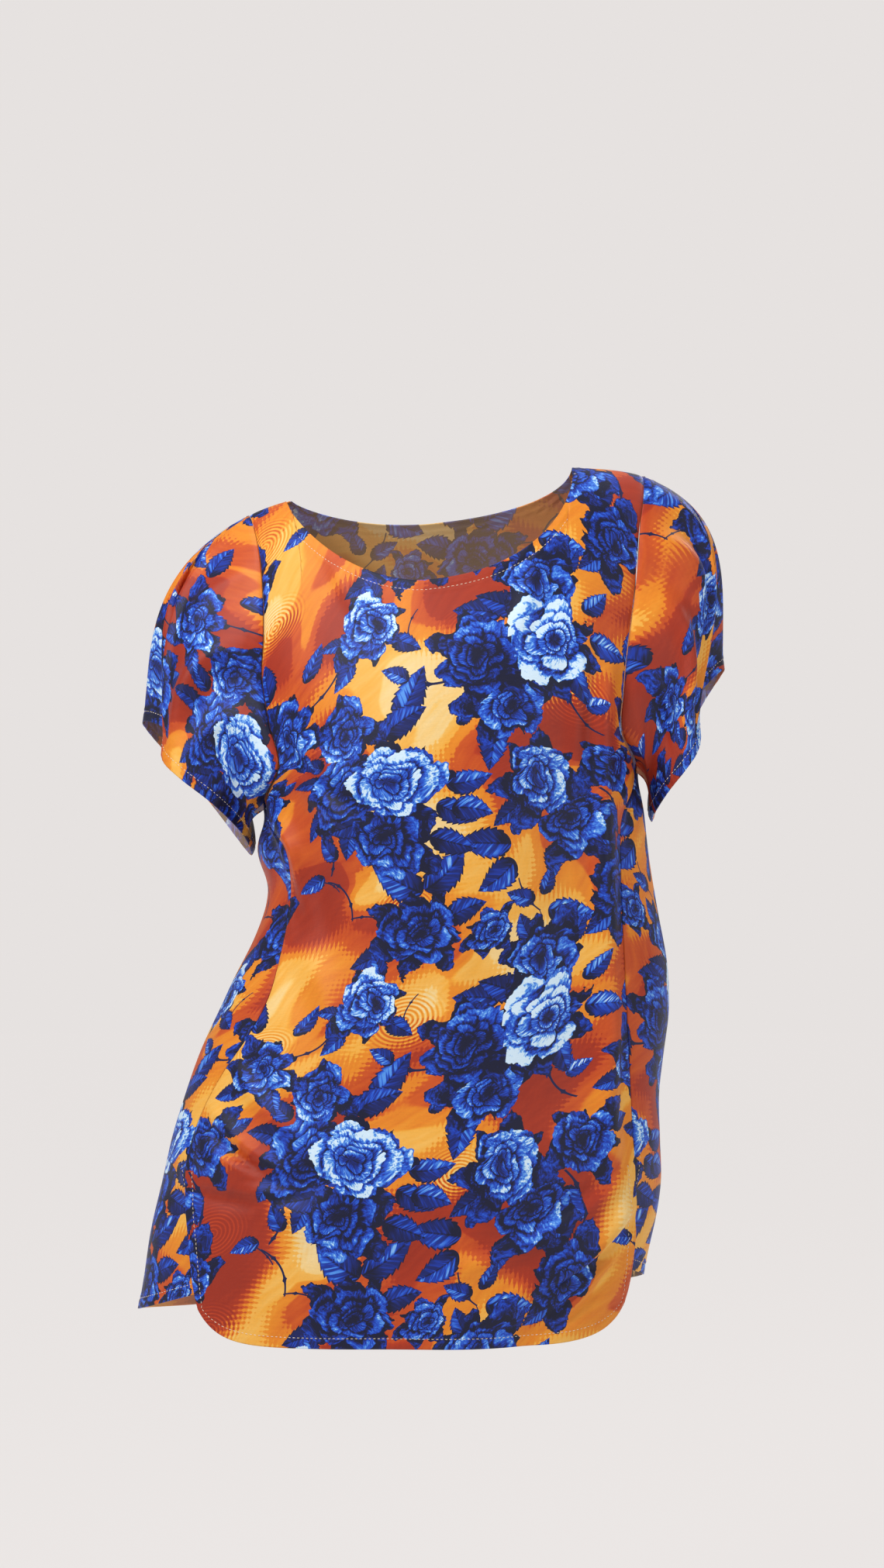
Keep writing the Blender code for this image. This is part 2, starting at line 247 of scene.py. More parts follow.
def bodyPoint(side, row, a):
    # point on a panel's outer face: row runs from the shoulder line to the hem, a across
    row = np.asarray(row, float)
    a = np.asarray(a, float)
    row, a = np.broadcast_arrays(row, a)
    middle = (ringValue("left", row) + ringValue("right", row)) / 2
    half = (ringValue("right", row) - ringValue("left", row)) / 2
    turn = edgeAngle(side, row, a) - form["seamGap"] * 0.5 / form["seamRadius"]
    if side == "front":
        angle = a * turn
        depth = -ringValue("front", row)
    else:
        angle = np.copysign(math.pi, a) - a * turn
        ahead = np.abs(angle) < math.pi / 2
        depth = np.where(ahead, -ringValue("front", row), ringValue("back", row))
    power = 2.0 / form["power"]
    sine = np.copysign(np.abs(np.sin(angle)) ** power, np.sin(angle))
    cosine = np.abs(np.cos(angle)) ** power
    x = middle + half * sine
    parting = (form["seamGap"] * 0.5 + form["parting"]) * np.maximum(0.0, 1 - row)
    y = depth * cosine + (-parting if side == "front" else parting)
    z = ringValue("mid", row)
    rise = ringValue("edge", row) - z
    if side == "front":
        z = z + rise * np.abs(a) ** ringValue("corner", row)
    else:
        tail = smoothStep((row - form["slit"]) / (hemRow - form["slit"]))
        z = z + (rise + form["tailRise"] * tail) * a * a + form["tailSlope"] * x * tail
    folds = frontFolds if side == "front" else backFolds
    lift = foldHeight(folds, x, z)
    lift = lift * smoothStep((1 - np.abs(a)) / form["foldFade"]) * smoothStep(row / form["foldRows"])
    if side == "back":
        share = (math.pi / 2 - np.abs(angle)) / (turn - math.pi / 2)
        tuck = form["tuck"] * smoothStep((row - form["slit"]) / form["tuckRows"])
        tuck = tuck * smoothStep(share * form["tuckReach"])
        lift = lift - np.where((row > form["slit"]) & (np.abs(angle) < math.pi / 2), tuck, 0.0)
    outX = sine * form["sideLift"]
    outY = np.where(depth == 0, 0.0, np.copysign(cosine, depth))
    size = np.maximum(np.hypot(outX, outY), 1e-9)
    return np.stack([x + lift * outX / size, y + lift * outY / size, tilted(x, z)], -1)


def neckHeight(x, depth):
    middle = (neck["left"] + neck["right"]) / 2
    share = (x - middle) / ((neck["right"] - neck["left"]) / 2)
    powerLeft, roundLeft = neck["roundLeft"]
    powerRight, roundRight = neck["roundRight"]
    inner = np.minimum(np.abs(share), 1.0)
    left = (1 - inner ** powerLeft) ** roundLeft
    right = (1 - inner ** powerRight) ** roundRight
    return ringRows[0][0] - neck["drop"] - depth * np.where(share < 0, left, right)


def insideNeck(x):
    return (x > neck["left"]) & (x < neck["right"])


# three points of each crest, height and half width in metres; a crest has a soft trough on the
# one side of it, or on the other where the last number is -1
frontCreases = (
    (-0.168, -0.508, -0.140, -0.536, -0.100, -0.560, 0.0030, 0.0060, 1),
    (-0.172, -0.534, -0.150, -0.549, -0.118, -0.561, 0.0026, 0.0045, -1),
    (-0.176, -0.566, -0.140, -0.572, -0.095, -0.566, 0.0022, 0.0050, 1),
    (-0.150, -0.470, -0.128, -0.500, -0.104, -0.520, 0.0020, 0.0070, -1),
    (-0.118, -0.262, -0.098, -0.300, -0.086, -0.352, 0.0034, 0.0080, 1),
    (-0.100, -0.232, -0.074, -0.262, -0.040, -0.282, 0.0022, 0.0070, -1),
    (-0.118, -0.180, -0.094, -0.214, -0.060, -0.240, 0.0018, 0.0075, 1),
    (0.168, -0.560, 0.135, -0.590, 0.085, -0.612, 0.0028, 0.0060, 1),
    (0.172, -0.588, 0.150, -0.618, 0.110, -0.642, 0.0034, 0.0052, -1),
    (0.170, -0.612, 0.140, -0.646, 0.096, -0.664, 0.0030, 0.0048, 1),
    (0.148, -0.640, 0.128, -0.662, 0.104, -0.676, 0.0022, 0.0040, -1),
    (0.110, -0.598, 0.070, -0.622, 0.020, -0.630, 0.0016, 0.0080, 1),
    (0.160, -0.430, 0.150, -0.500, 0.160, -0.560, 0.0026, 0.0080, -1),
    (0.152, -0.160, 0.146, -0.250, 0.154, -0.360, 0.0032, 0.0070, 1),
    (0.136, -0.120, 0.126, -0.180, 0.128, -0.240, 0.0018, 0.0080, -1),
    (-0.070, -0.040, -0.062, -0.090, -0.030, -0.120, 0.0014, 0.0090, 1),
    (0.100, -0.050, 0.092, -0.100, 0.070, -0.130, 0.0014, 0.0090, -1),
    (-0.088, -0.380, -0.060, -0.440, -0.050, -0.520, 0.0018, 0.0110, 1),
    (0.030, -0.320, 0.034, -0.420, 0.020, -0.520, 0.0014, 0.0130, -1),
    (-0.020, -0.540, -0.024, -0.600, -0.014, -0.660, 0.0016, 0.0110, 1),
)
backCreases = (
    (-0.124, -0.250, -0.098, -0.296, -0.086, -0.360, 0.0042, 0.0090, 1),
    (-0.096, -0.206, -0.060, -0.248, -0.012, -0.266, 0.0030, 0.0080, -1),
    (-0.110, -0.178, -0.070, -0.206, -0.020, -0.216, 0.0022, 0.0085, 1),
    (0.160, -0.246, 0.140, -0.300, 0.126, -0.376, 0.0042, 0.0085, -1),
    (0.126, -0.216, 0.090, -0.256, 0.046, -0.272, 0.0030, 0.0080, 1),
    (0.150, -0.180, 0.110, -0.204, 0.070, -0.212, 0.0020, 0.0085, -1),
    (-0.170, -0.516, -0.146, -0.560, -0.100, -0.590, 0.0036, 0.0064, 1),
    (-0.176, -0.560, -0.150, -0.602, -0.112, -0.624, 0.0034, 0.0056, -1),
    (-0.150, -0.620, -0.120, -0.650, -0.080, -0.660, 0.0026, 0.0060, 1),
    (0.170, -0.536, 0.140, -0.580, 0.092, -0.604, 0.0038, 0.0064, -1),
    (0.172, -0.580, 0.146, -0.618, 0.108, -0.640, 0.0030, 0.0052, 1),
    (-0.052, -0.350, -0.044, -0.440, -0.064, -0.560, 0.0032, 0.0120, 1),
    (-0.006, -0.330, 0.004, -0.400, -0.008, -0.470, 0.0022, 0.0110, -1),
    (0.034, -0.340, 0.022, -0.440, 0.036, -0.590, 0.0030, 0.0130, -1),
    (0.092, -0.390, 0.100, -0.500, 0.090, -0.610, 0.0028, 0.0115, 1),
    (-0.070, -0.050, -0.040, -0.080, 0.020, -0.088, 0.0020, 0.0100, 1),
    (0.100, -0.060, 0.070, -0.090, 0.030, -0.100, 0.0018, 0.0090, -1),
)
# on a sleeve the crest's points are its place round the sleeve, 0 to 1, and down it, 0 to 1
leftSleeveCreases = (
    (0.30, 0.10, 0.24, 0.45, 0.17, 0.86, 0.0040, 0.0085, 1),
    (0.38, 0.20, 0.33, 0.50, 0.27, 0.78, 0.0024, 0.0065, -1),
    (0.10, 0.16, 0.12, 0.50, 0.11, 0.94, 0.0030, 0.0080, -1),
    (0.04, 0.30, 0.02, 0.60, 0.01, 0.96, 0.0026, 0.0075, 1),
    (0.20, 0.05, 0.19, 0.20, 0.16, 0.40, 0.0020, 0.0070, 1),
    (0.86, 0.20, 0.88, 0.55, 0.87, 0.90, 0.0030, 0.0085, 1),
    (0.76, 0.10, 0.79, 0.45, 0.77, 0.86, 0.0026, 0.0080, -1),
    (0.66, 0.15, 0.69, 0.45, 0.70, 0.80, 0.0020, 0.0070, 1),
)
rightSleeveCreases = (
    (0.29, 0.08, 0.24, 0.48, 0.19, 0.84, 0.0034, 0.0085, -1),
    (0.37, 0.16, 0.34, 0.46, 0.29, 0.80, 0.0026, 0.0065, 1),
    (0.11, 0.12, 0.10, 0.50, 0.12, 0.94, 0.0028, 0.0080, 1),
    (0.03, 0.26, 0.03, 0.60, 0.02, 0.96, 0.0028, 0.0075, -1),
    (0.21, 0.06, 0.17, 0.24, 0.15, 0.44, 0.0020, 0.0065, -1),
    (0.87, 0.16, 0.86, 0.55, 0.89, 0.92, 0.0030, 0.0085, -1),
    (0.77, 0.12, 0.75, 0.45, 0.78, 0.84, 0.0026, 0.0080, 1),
    (0.67, 0.12, 0.68, 0.48, 0.66, 0.82, 0.0020, 0.0070, -1),
)
creaseForm = {
    "depth": 1.85,
    "steps": 48,
    "endFade": 1.8,
    "atEnds": 0.22,
    "trough": 0.55,
    "troughPlace": 1.7,
    "troughWidth": 1.1,
}


def creaseHeight(creases, x, z):
    # each crest is a bent line; the cloth rises along it and dips beside it
    total = np.zeros_like(x)
    last = creaseForm["steps"]
    steps = np.linspace(0.0, 1.0, last + 1)
    for x1, z1, x2, z2, x3, z3, height, width, turn in creases:
        lineX = (1 - steps) ** 2 * x1 + 2 * steps * (1 - steps) * x2 + steps ** 2 * x3
        lineZ = (1 - steps) ** 2 * z1 + 2 * steps * (1 - steps) * z2 + steps ** 2 * z3
        gapX = x[..., None] - lineX
        gapZ = z[..., None] - lineZ
        near = np.argmin(gapX ** 2 + gapZ ** 2, -1)
        picked = near[..., None]
        wayX = np.gradient(lineX)[near]
        wayZ = np.gradient(lineZ)[near]
        size = np.hypot(wayX, wayZ)
        pickX = np.take_along_axis(gapX, picked, -1)[..., 0]
        pickZ = np.take_along_axis(gapZ, picked, -1)[..., 0]
        across = (pickX * wayZ - pickZ * wayX) / size * turn / width
        along = (pickX * wayX + pickZ * wayZ) / size
        share = np.clip(steps[near] + along / (size * last), 0.0, 1.0)
        beyond = np.where((near == 0) | (near == last), along, 0.0) / (width * creaseForm["endFade"])
        swell = creaseForm["atEnds"] + (1 - creaseForm["atEnds"]) * np.sin(math.pi * share) ** 0.8
        fade = swell * np.exp(-beyond ** 2)
        beside = (across - creaseForm["troughPlace"]) / creaseForm["troughWidth"]
        crest = np.exp(-across ** 2) - creaseForm["trough"] * np.exp(-beside ** 2)
        total = total + height * creaseForm["depth"] * fade * crest
    return total


waves = {
    "count": 6,
    "turn": 2.39996,
    "pitch": 0.055,
    "pitchStep": 0.021,
    "shift": 1.7,
}


def looseWaves(x, z, seed):
    # faint unevenness of cloth that hangs free
    total = np.zeros_like(x)
    for k in range(waves["count"]):
        way = 0.7 + waves["turn"] * (k + seed)
        pitch = waves["pitch"] + waves["pitchStep"] * ((k * 3 + seed) % 5)
        run = x * math.cos(way) + z * math.sin(way)
        total = total + np.sin(run * 2 * math.pi / pitch + waves["shift"] * k + seed)
    return total / waves["count"]


sheetCut = {
    "thickness": 0.0008,
    "hemWidth": 0.0105,
    "hemRise": 0.00035,
    "hemFade": 0.0016,
    "stitchInset": 0.0085,
    "stitchPress": 0.0005,
    "stitchWidth": 0.0013,
    "seamPress": 0.0009,
    "seamWidth": 0.0022,
    "wave": 0.0010,
    "pucker": 0.00045,
    "puckerPitch": 0.0090,
}
# rows of the grid at an edge, as lengths from it
edgeBand = (0.0, 0.0010, 0.0026, 0.0046, 0.0066, 0.0085, 0.0104, 0.0124, 0.0150)


def unitRows(vectors):
    size = np.maximum(np.linalg.norm(vectors, axis=-1, keepdims=True), 1e-12)
    return vectors / size


def gridNormals(points, closed=False):
    if closed:
        wrapped = np.concatenate([points[-2:-1], points, points[1:2]], 0)
        across = (wrapped[2:] - wrapped[:-2]) / 2
    else:
        across = np.gradient(points, axis=0)
    down = np.gradient(points, axis=1)
    return unitRows(np.cross(down, across))


def lengthsAlong(points, axis):
    steps = np.linalg.norm(np.diff(points, axis=axis), axis=-1)
    total = np.cumsum(steps, axis=axis)
    zero = np.zeros_like(np.take(total, [0], axis=axis))
    return np.concatenate([zero, total], axis=axis)


def placesAt(path, run, wanted):
    # points of a path at given lengths along it
    return np.stack([np.interp(wanted, run, path[:, k]) for k in range(3)], -1)


def crossing(values, wanted):
    # fractional place where a rising list reaches a value, or None
    found = np.nonzero(values >= wanted)[0]
    if len(found) == 0 or found[0] == 0:
        return None
    i = found[0]
    return i - 1 + (wanted - values[i - 1]) / (values[i] - values[i - 1])


def sewnRelief(fromEdge, fromSeam, pull, reach):
    # a turned hem stands a little, sinks and puckers at its stitching, and a seam is pressed
    offStitch = fromEdge - sheetCut["stitchInset"]
    band = 1 - smoothStep((fromEdge - sheetCut["hemWidth"]) / sheetCut["hemFade"])
    lift = sheetCut["hemRise"] * band
    lift = lift - sheetCut["stitchPress"] * np.exp(-(offStitch / sheetCut["stitchWidth"]) ** 2)
    lift = lift + sheetCut["pucker"] * pull * np.exp(-(offStitch / reach) ** 2)
    return lift - sheetCut["seamPress"] * np.exp(-(fromSeam / sheetCut["seamWidth"]) ** 2)


def sample(table, rowPlace, columnPlace):
    # value of a table of [column, row] at fractional places
    c = np.clip(columnPlace, 0, table.shape[0] - 1.0001)
    r = np.clip(rowPlace, 0, table.shape[1] - 1.0001)
    i = c.astype(int)
    j = r.astype(int)
    f = c - i
    g = r - j
    if table.ndim == 3:
        f = f[..., None]
        g = g[..., None]
    low = table[i, j] * (1 - f) + table[i + 1, j] * f
    high = table[i, j + 1] * (1 - f) + table[i + 1, j + 1] * f
    return low * (1 - g) + high * g


def readMesh(values, name, width=1, kind=float):
    # one property of all vertices, corners or faces, as a table
    flat = np.empty(len(values) * width, kind)
    values.foreach_get(name, flat)
    return flat.reshape(-1, width) if width > 1 else flat


def addSheet(name, points, cut, slots, closed=False):
    # a grid is laid on the points, joined if it goes all round, and given the cloth's thickness
    columns, rows = points.shape[:2]
    bpy.ops.object.select_all(action="DESELECT")
    bpy.ops.mesh.primitive_grid_add(x_subdivisions=columns - 1, y_subdivisions=rows - 1, size=2)
    piece = bpy.context.object
    piece.name = name
    mesh = piece.data
    mesh.name = name
    flat = readMesh(mesh.vertices, "co", 3)
    across = np.rint((flat[:, 0] + 1) / 2 * (columns - 1)).astype(int)
    down = np.rint((1 - flat[:, 1]) / 2 * (rows - 1)).astype(int)
    mesh.vertices.foreach_set("co", points[across, down].ravel())
    corners = readMesh(mesh.loops, "vertex_index", kind=int)
    layer = mesh.uv_layers[0] if mesh.uv_layers else mesh.uv_layers.new()
    layer.name = "cut"
    layer.data.foreach_set("uv", cut[across[corners], down[corners]].ravel())
    mesh.update()
    normals = readMesh(mesh.polygons, "normal", 3)
    middle = points.reshape(-1, 3).mean(0) * (1 if closed else (1, 0, 1))
    outward = readMesh(mesh.polygons, "center", 3) - middle
    outward[:, 2] *= 0.2
    bpy.ops.object.mode_set(mode="EDIT")
    bpy.ops.mesh.select_all(action="SELECT")
    if closed:
        bpy.ops.mesh.remove_doubles(threshold=0.00002)
        bpy.ops.mesh.select_all(action="SELECT")
    if np.sum(normals * outward) < 0:
        bpy.ops.mesh.flip_normals()
    bpy.ops.object.mode_set(mode="OBJECT")
    for slot in slots:
        mesh.materials.append(slot)
    area = sum(face.area for face in mesh.polygons)
    wall = piece.modifiers.new("wall", "SOLIDIFY")
    wall.thickness = sheetCut["thickness"]
    wall.offset = -1
    wall.material_offset = 1
    wall.material_offset_rim = 0
    bpy.ops.object.modifier_apply(modifier=wall.name)
    bpy.ops.object.shade_smooth()
    bpy.ops.object.select_all(action="DESELECT")
    print(name, len(piece.data.polygons) * 2, "triangles, cloth area", round(area, 4))
    return piece, area


stitch = {
    "length": 0.0024,
    "pitch": 0.0036,
    "radius": 0.00026,
    "lift": 0.00022,
    "sides": 6,
    "taper": 0.55,
    "dip": 1.6,
}


def stitchShape():
    # one stitch, modelled once: a short round thread that dips into the cloth at both ends
    bpy.ops.object.select_all(action="DESELECT")
    bpy.ops.mesh.primitive_cylinder_add(
        vertices=stitch["sides"], radius=stitch["radius"], depth=stitch["length"],
        end_fill_type="NGON", rotation=(0, math.pi / 2, 0))
    bpy.ops.object.transform_apply(location=False, rotation=True, scale=False)
    shape = bpy.context.object
    bpy.ops.object.mode_set(mode="EDIT")
    bpy.ops.mesh.select_all(action="SELECT")
    bpy.ops.mesh.subdivide(number_cuts=2)
    bpy.ops.object.mode_set(mode="OBJECT")
    half = stitch["length"] / 2
    for vertex in shape.data.vertices:
        share = abs(vertex.co.x) / half
        narrow = 1 - stitch["taper"] * share ** 3
        vertex.co.y *= narrow
        vertex.co.z = vertex.co.z * narrow - stitch["radius"] * stitch["dip"] * share ** 2
    made = bmesh.new()
    made.from_mesh(shape.data)
    bmesh.ops.triangulate(made, faces=made.faces)
    bmesh.ops.recalc_face_normals(made, faces=made.faces)
    places = np.array([vertex.co[:] for vertex in made.verts])
    faces = np.array([[vertex.index for vertex in face.verts] for face in made.faces])
    made.free()
    bpy.data.objects.remove(shape)
    return places, faces


stitchPlaces, stitchFaces = stitchShape()


def stitchLine(path, normals):
    # copies of the stitch along a line on the cloth
    run = lengthsAlong(path, 0)
    count = int(run[-1] / stitch["pitch"])
    if count < 2:
        return np.zeros((0, 3)), np.zeros((0, 3), int)
    at = (np.arange(count) + 0.5) * run[-1] / count
    half = stitch["length"] * 0.5
    place = placesAt(path, run, at)
    up = unitRows(placesAt(normals, run, at))
    along = unitRows(placesAt(path, run, at + half) - placesAt(path, run, at - half))
    beside = unitRows(np.cross(up, along))
    up = np.cross(along, beside)
    local = stitchPlaces
    made = place[:, None] + up[:, None] * stitch["lift"]
    made = made + along[:, None] * local[None, :, :1] + beside[:, None] * local[None, :, 1:2]
    made = made + up[:, None] * local[None, :, 2:]
    faces = stitchFaces[None] + (np.arange(count) * len(local))[:, None, None]
    return made.reshape(-1, 3), faces.reshape(-1, 3)


def addStitching(name, lines, slot):
    places = []
    faces = []
    total = 0
    for path, normals in lines:
        more, joined = stitchLine(path, normals)
        places.append(more)
        faces.append(joined + total)
        total += len(more)
    mesh = bpy.data.meshes.new(name)
    mesh.from_pydata(np.concatenate(places).tolist(), [], np.concatenate(faces).tolist())
    mesh.update()
    mesh.shade_smooth()
    mesh.materials.append(slot)
    piece = bpy.data.objects.new(name, mesh)
    bpy.context.scene.collection.objects.link(piece)
    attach(piece, "root")
    print(name, len(mesh.polygons), "triangles")
    return piece


# repeats of the motifs and of the ripples, in metres
printRepeat = (0.320, 0.314)
rippleRepeat = (0.620, 0.628)

# places and sizes below are in millimetres across and up
# roses: centre, radius, lightness
roses = (
    (-20, -236, 37, 0.80),
    (-64, -232, 34, 0.26),
    (-62, -184, 26, 0.44),
    (-30, -284, 31, 0.26),
    (104, -124, 38, 0.84),
    (97, -80, 31, 0.42),
    (50, -142, 34, 0.24),
    (72, -180, 29, 0.40),
    (-40, -103, 28, 0.64),
    (-9, -360, 31, 0.28),
    (97, -242, 30, 0.56),
    (127, -280, 30, 0.28),
    (49, -364, 18, 0.46),
    (-115, -159, 26, 0.44),
    (165, -226, 28, 0.36),
    (160, -336, 30, 0.32),
)
# leaves: foot, length, way it points in degrees, lightness
leaves = (
    (-17, -186, 46, 62, 0.42),
    (-30, -196, 40, 25, 0.30),
    (20, -243, 38, 8, 0.50),
    (12, -258, 36, -28, 0.40),
    (24, -262, 34, -14, 0.50),
    (66, -108, 40, 172, 0.34),
    (50, -150, 34, 205, 0.30),
    (134, -95, 32, 48, 0.50),
    (140, -117, 38, 4, 0.62),
    (-8, -329, 46, 148, 0.42),
    (-6, -327, 48, 42, 0.50),
    (68, -296, 44, 172, 0.36),
    (68, -310, 38, 214, 0.46),
    (96, -352, 44, -8, 0.60),
    (84, -344, 26, 160, 0.45),
    (90, -340, 26, 70, 0.40),
    (-83, -250, 31, 232, 0.40),
    (-80, -205, 28, 142, 0.34),
    (-8, -156, 26, 150, 0.56),
    (-58, -268, 32, 252, 0.34),
    (-76, -296, 26, 120, 0.36),
    (-94, -306, 26, 200, 0.58),
    (60, -196, 40, 262, 0.40),
    (124, -150, 32, -40, 0.70),
    (138, -172, 24, 30, 0.72),
    (-132, -120, 34, 100, 0.42),
    (-96, -128, 30, 60, 0.46),
    (150, -262, 34, -60, 0.40),
    (146, -310, 32, 60, 0.40),
    (30, -196, 20, 40, 0.40),
    (-54, -128, 26, 232, 0.40),
    (-60, -112, 24, 176, 0.36),
    (104, -300, 30, 260, 0.40),
    (-44, -262, 40, 196, 0.16),
    (-84, -222, 34, 172, 0.22),
    (4, -284, 38, -20, 0.24),
    (-50, -206, 32, 96, 0.18),
    (82, -106, 40, 158, 0.16),
    (64, -124, 36, 214, 0.18),
    (92, -158, 34, 268, 0.24),
    (122, -142, 34, -58, 0.30),
    (84, -62, 26, 118, 0.30),
    (116, -66, 28, 62, 0.44),
    (-30, -372, 36, 205, 0.20),
    (12, -352, 34, 20, 0.24),
    (84, -262, 34, 214, 0.20),
    (118, -254, 34, 24, 0.34),
    (-34, -84, 26, 118, 0.40),
    (-22, -118, 28, -30, 0.28),
    (-132, -172, 28, 206, 0.34),
    (-104, -180, 26, -64, 0.44),
    (184, -218, 26, 30, 0.34),
    (150, -352, 30, 226, 0.30),
)
# stems: both ends and how far it bows
stems = (
    (-80, -268, -90, -312, 0.14),
    (-90, -312, -66, -346, 0.16),
    (-66, -346, -34, -352, 0.10),
    (70, -326, 88, -352, -0.10),
    (88, -352, 92, -372, 0.10),
    (-6, -158, 44, -150, -0.14),
    (58, -206, 78, -226, 0.12),
    (-62, -120, -92, -150, 0.16),
    (118, -160, 150, -190, -0.14),
    (150, -250, 168, -300, 0.14),
    (-8, -124, -2, -98, 0.12),
    (-104, -308, -80, -322, 0.10),
)
# ripples in the ground: centre, radius
ripples = (
    (-8, -433, 40),
    (-127, -62, 34),
    (-137, -612, 36),
    (127, -168, 38),
    (-121, -451, 34),
    (40, -120, 30),
    (-20, -342, 30),
    (60, -560, 34),
)
# ground: places that are creamy (above 0) or rusty (below 0): centre, radius, amount; on the front,
# and with x under -1000 or over 1000 on the sleeves
groundZones = (
    (-33, -159, 40, 0.26),
    (-39, -240, 44, 0.30),
    (16, -178, 38, 0.22),
    (-8, -302, 46, 0.16),
    (-52, -318, 28, 0.28),
    (-33, -617, 24, 0.34),
    (-61, -603, 26, 0.20),
    (51, -91, 38, -0.30),
    (-61, -84, 28, -0.26),
    (141, -193, 26, -0.32),
    (-102, -334, 32, -0.32),
    (46, -392, 30, -0.20),
    (106, -500, 50, -0.30),
    (26, -613, 34, -0.32),
    (-122, -656, 30, -0.30),
    (156, -650, 30, -0.22),
    (-179, -555, 34, -0.30),
    (-5, -452, 30, -0.16),
    (-129, -85, 28, -0.22),
    (-140, -630, 52, -0.24),
    (118, -600, 50, -0.20),
    (60, -470, 44, -0.16),
    (-60, -520, 40, -0.12),
    (-1404, -84, 50, -0.16),
    (-1392, -170, 56, -0.32),
    (-1424, -222, 40, -0.26),
    (-1320, -238, 50, -0.30),
    (-1290, -130, 34, -0.16),
    (1526, -30, 46, -0.12),
    (1534, -78, 40, -0.24),
    (1491, -133, 46, -0.30),
    (1468, -190, 44, -0.28),
    (1446, -128, 36, -0.24),
)


def localFrames(places, corners, faceOf, motifs, repeat):
    # for each face the nearest motif of one layer; for each corner its place in that motif's own
    # measure. A motif is (x, y, size, turn, reach, code); its middle lies reach sizes ahead
    best = np.full(len(places), 1e9)
    chosen = np.zeros(len(places), int)
    delta = np.zeros((len(places), 2))
    for k, (x, y, size, turn, reach, _) in enumerate(motifs):
        away = places - (x, y)
        away = away - np.rint(away / repeat) * repeat
        ahead = np.array((math.cos(turn), math.sin(turn))) * size * reach
        score = np.linalg.norm(away - ahead, axis=1) / size
        closer = score < best
        best = np.where(closer, score, best)
        chosen = np.where(closer, k, chosen)
        delta = np.where(closer[:, None], away, delta)
    table = np.array(motifs, float)
    size = table[chosen, 2][faceOf]
    turn = table[chosen, 3][faceOf]
    away = delta[faceOf] + corners - places[faceOf]
    local = np.empty((len(corners), 3))
    local[:, 0] = (away[:, 0] * np.cos(turn) + away[:, 1] * np.sin(turn)) / size
    local[:, 1] = (away[:, 1] * np.cos(turn) - away[:, 0] * np.sin(turn)) / size
    local[:, 2] = table[chosen, 5][faceOf]
    return local


def motifMiddle(motif):
    x, y, size, turn, reach, _ = motif
    return np.array((x + math.cos(turn) * size * reach, y + math.sin(turn) * size * reach))


def spreadLayers(motifs, layers, spacing):
    # motifs that would overlap go to different layers
    picked = [[] for _ in range(layers)]
    for motif in motifs:
        crowd = []
        for layer in picked:
            worst = 0.0
            for other in layer:
                away = motifMiddle(motif) - motifMiddle(other)
                away = away - np.rint(away / printRepeat) * printRepeat
                room = np.linalg.norm(away) / ((motif[2] + other[2]) * spacing)
                if room < 1:
                    worst = max(worst, 1 / max(room, 0.05))
            crowd.append(worst)
        picked[int(np.argmin(crowd))].append(motif)
    return picked


def printLayers():
    # roses, leaves and stems as motifs, each kind shared out to its layers; the palest roses are
    # placed first
    made = {}
    ordered = sorted(roses, key=lambda rose: rose[3])
    motifs = []
    for k, (x, y, radius, light) in enumerate(ordered):
        motifs.append((x / 1000, y / 1000, radius / 1000, 0.9 * k, 0.0, k + 1 + light * 0.99))
    made["roseHigh"], made["roseLow"] = spreadLayers(motifs[::-1], 2, 1.42)
    motifs = []
    for k, (x, y, length, way, light) in enumerate(leaves):
        motifs.append((x / 1000, y / 1000, length / 1000, math.radians(way), 0.5, k + 1 + light * 0.99))
    made.update(zip(("leafLow", "leafMid", "leafHigh"), spreadLayers(motifs, 3, 0.5)))
    motifs = []
    for x1, y1, x2, y2, bow in stems:
        length = math.hypot(x2 - x1, y2 - y1) / 1000
        motifs.append((x1 / 1000, y1 / 1000, length, math.atan2(y2 - y1, x2 - x1), 0.5, bow))
    made.update(zip(("stemLow", "stemHigh"), spreadLayers(motifs, 2, 0.6)))
    made["ripple"] = [(x / 1000, y / 1000, radius / 1000, 0.0, 0.0, 1.0) for x, y, radius in ripples]
    return made


layersOfPrint = printLayers()


def layPrint(piece):
    # the print follows the cloth's cut: each corner stores its place in the motifs around it
    mesh = piece.data
    uv = readMesh(mesh.uv_layers["cut"].data, "uv", 2)
    starts = readMesh(mesh.polygons, "loop_start", kind=int)
    sizes = readMesh(mesh.polygons, "loop_total", kind=int)
    order = np.argsort(starts)
    faceOf = np.repeat(order, sizes[order])
    places = np.add.reduceat(uv, starts[order])[np.argsort(order)] / sizes[:, None]
    for name, motifs in layersOfPrint.items():
        repeat = np.array(rippleRepeat if name == "ripple" else printRepeat)
        local = localFrames(places, uv, faceOf, motifs, repeat)
        attribute = mesh.attributes.new(name, "FLOAT_VECTOR", "CORNER")
        attribute.data.foreach_set("vector", local.astype(np.float32).ravel())


def plug(tree, value, target):
    if isinstance(value, bpy.types.NodeSocket):
        tree.links.new(value, target)
    else:
        target.default_value = value


def calc(tree, operation, *values):
    node = tree.nodes.new("ShaderNodeMath")
    node.operation = operation
    for target, value in zip(node.inputs, values):
        plug(tree, value, target)
    return node.outputs[0]


def plus(tree, *values):
    return calc(tree, "ADD", *values)


def minus(tree, *values):
    return calc(tree, "SUBTRACT", *values)


def times(tree, *values):
    return calc(tree, "MULTIPLY", *values)


def timesPlus(tree, *values):
    # the first two multiplied, and the third added
    return calc(tree, "MULTIPLY_ADD", *values)


def calcVector(tree, operation, *values, scale=None):
    node = tree.nodes.new("ShaderNodeVectorMath")
    node.operation = operation
    for target, value in zip(node.inputs, values):
        plug(tree, value, target)
    if scale is not None:
        plug(tree, scale, node.inputs["Scale"])
    single = operation in ("LENGTH", "DISTANCE", "DOT_PRODUCT")
    return node.outputs["Value" if single else "Vector"]


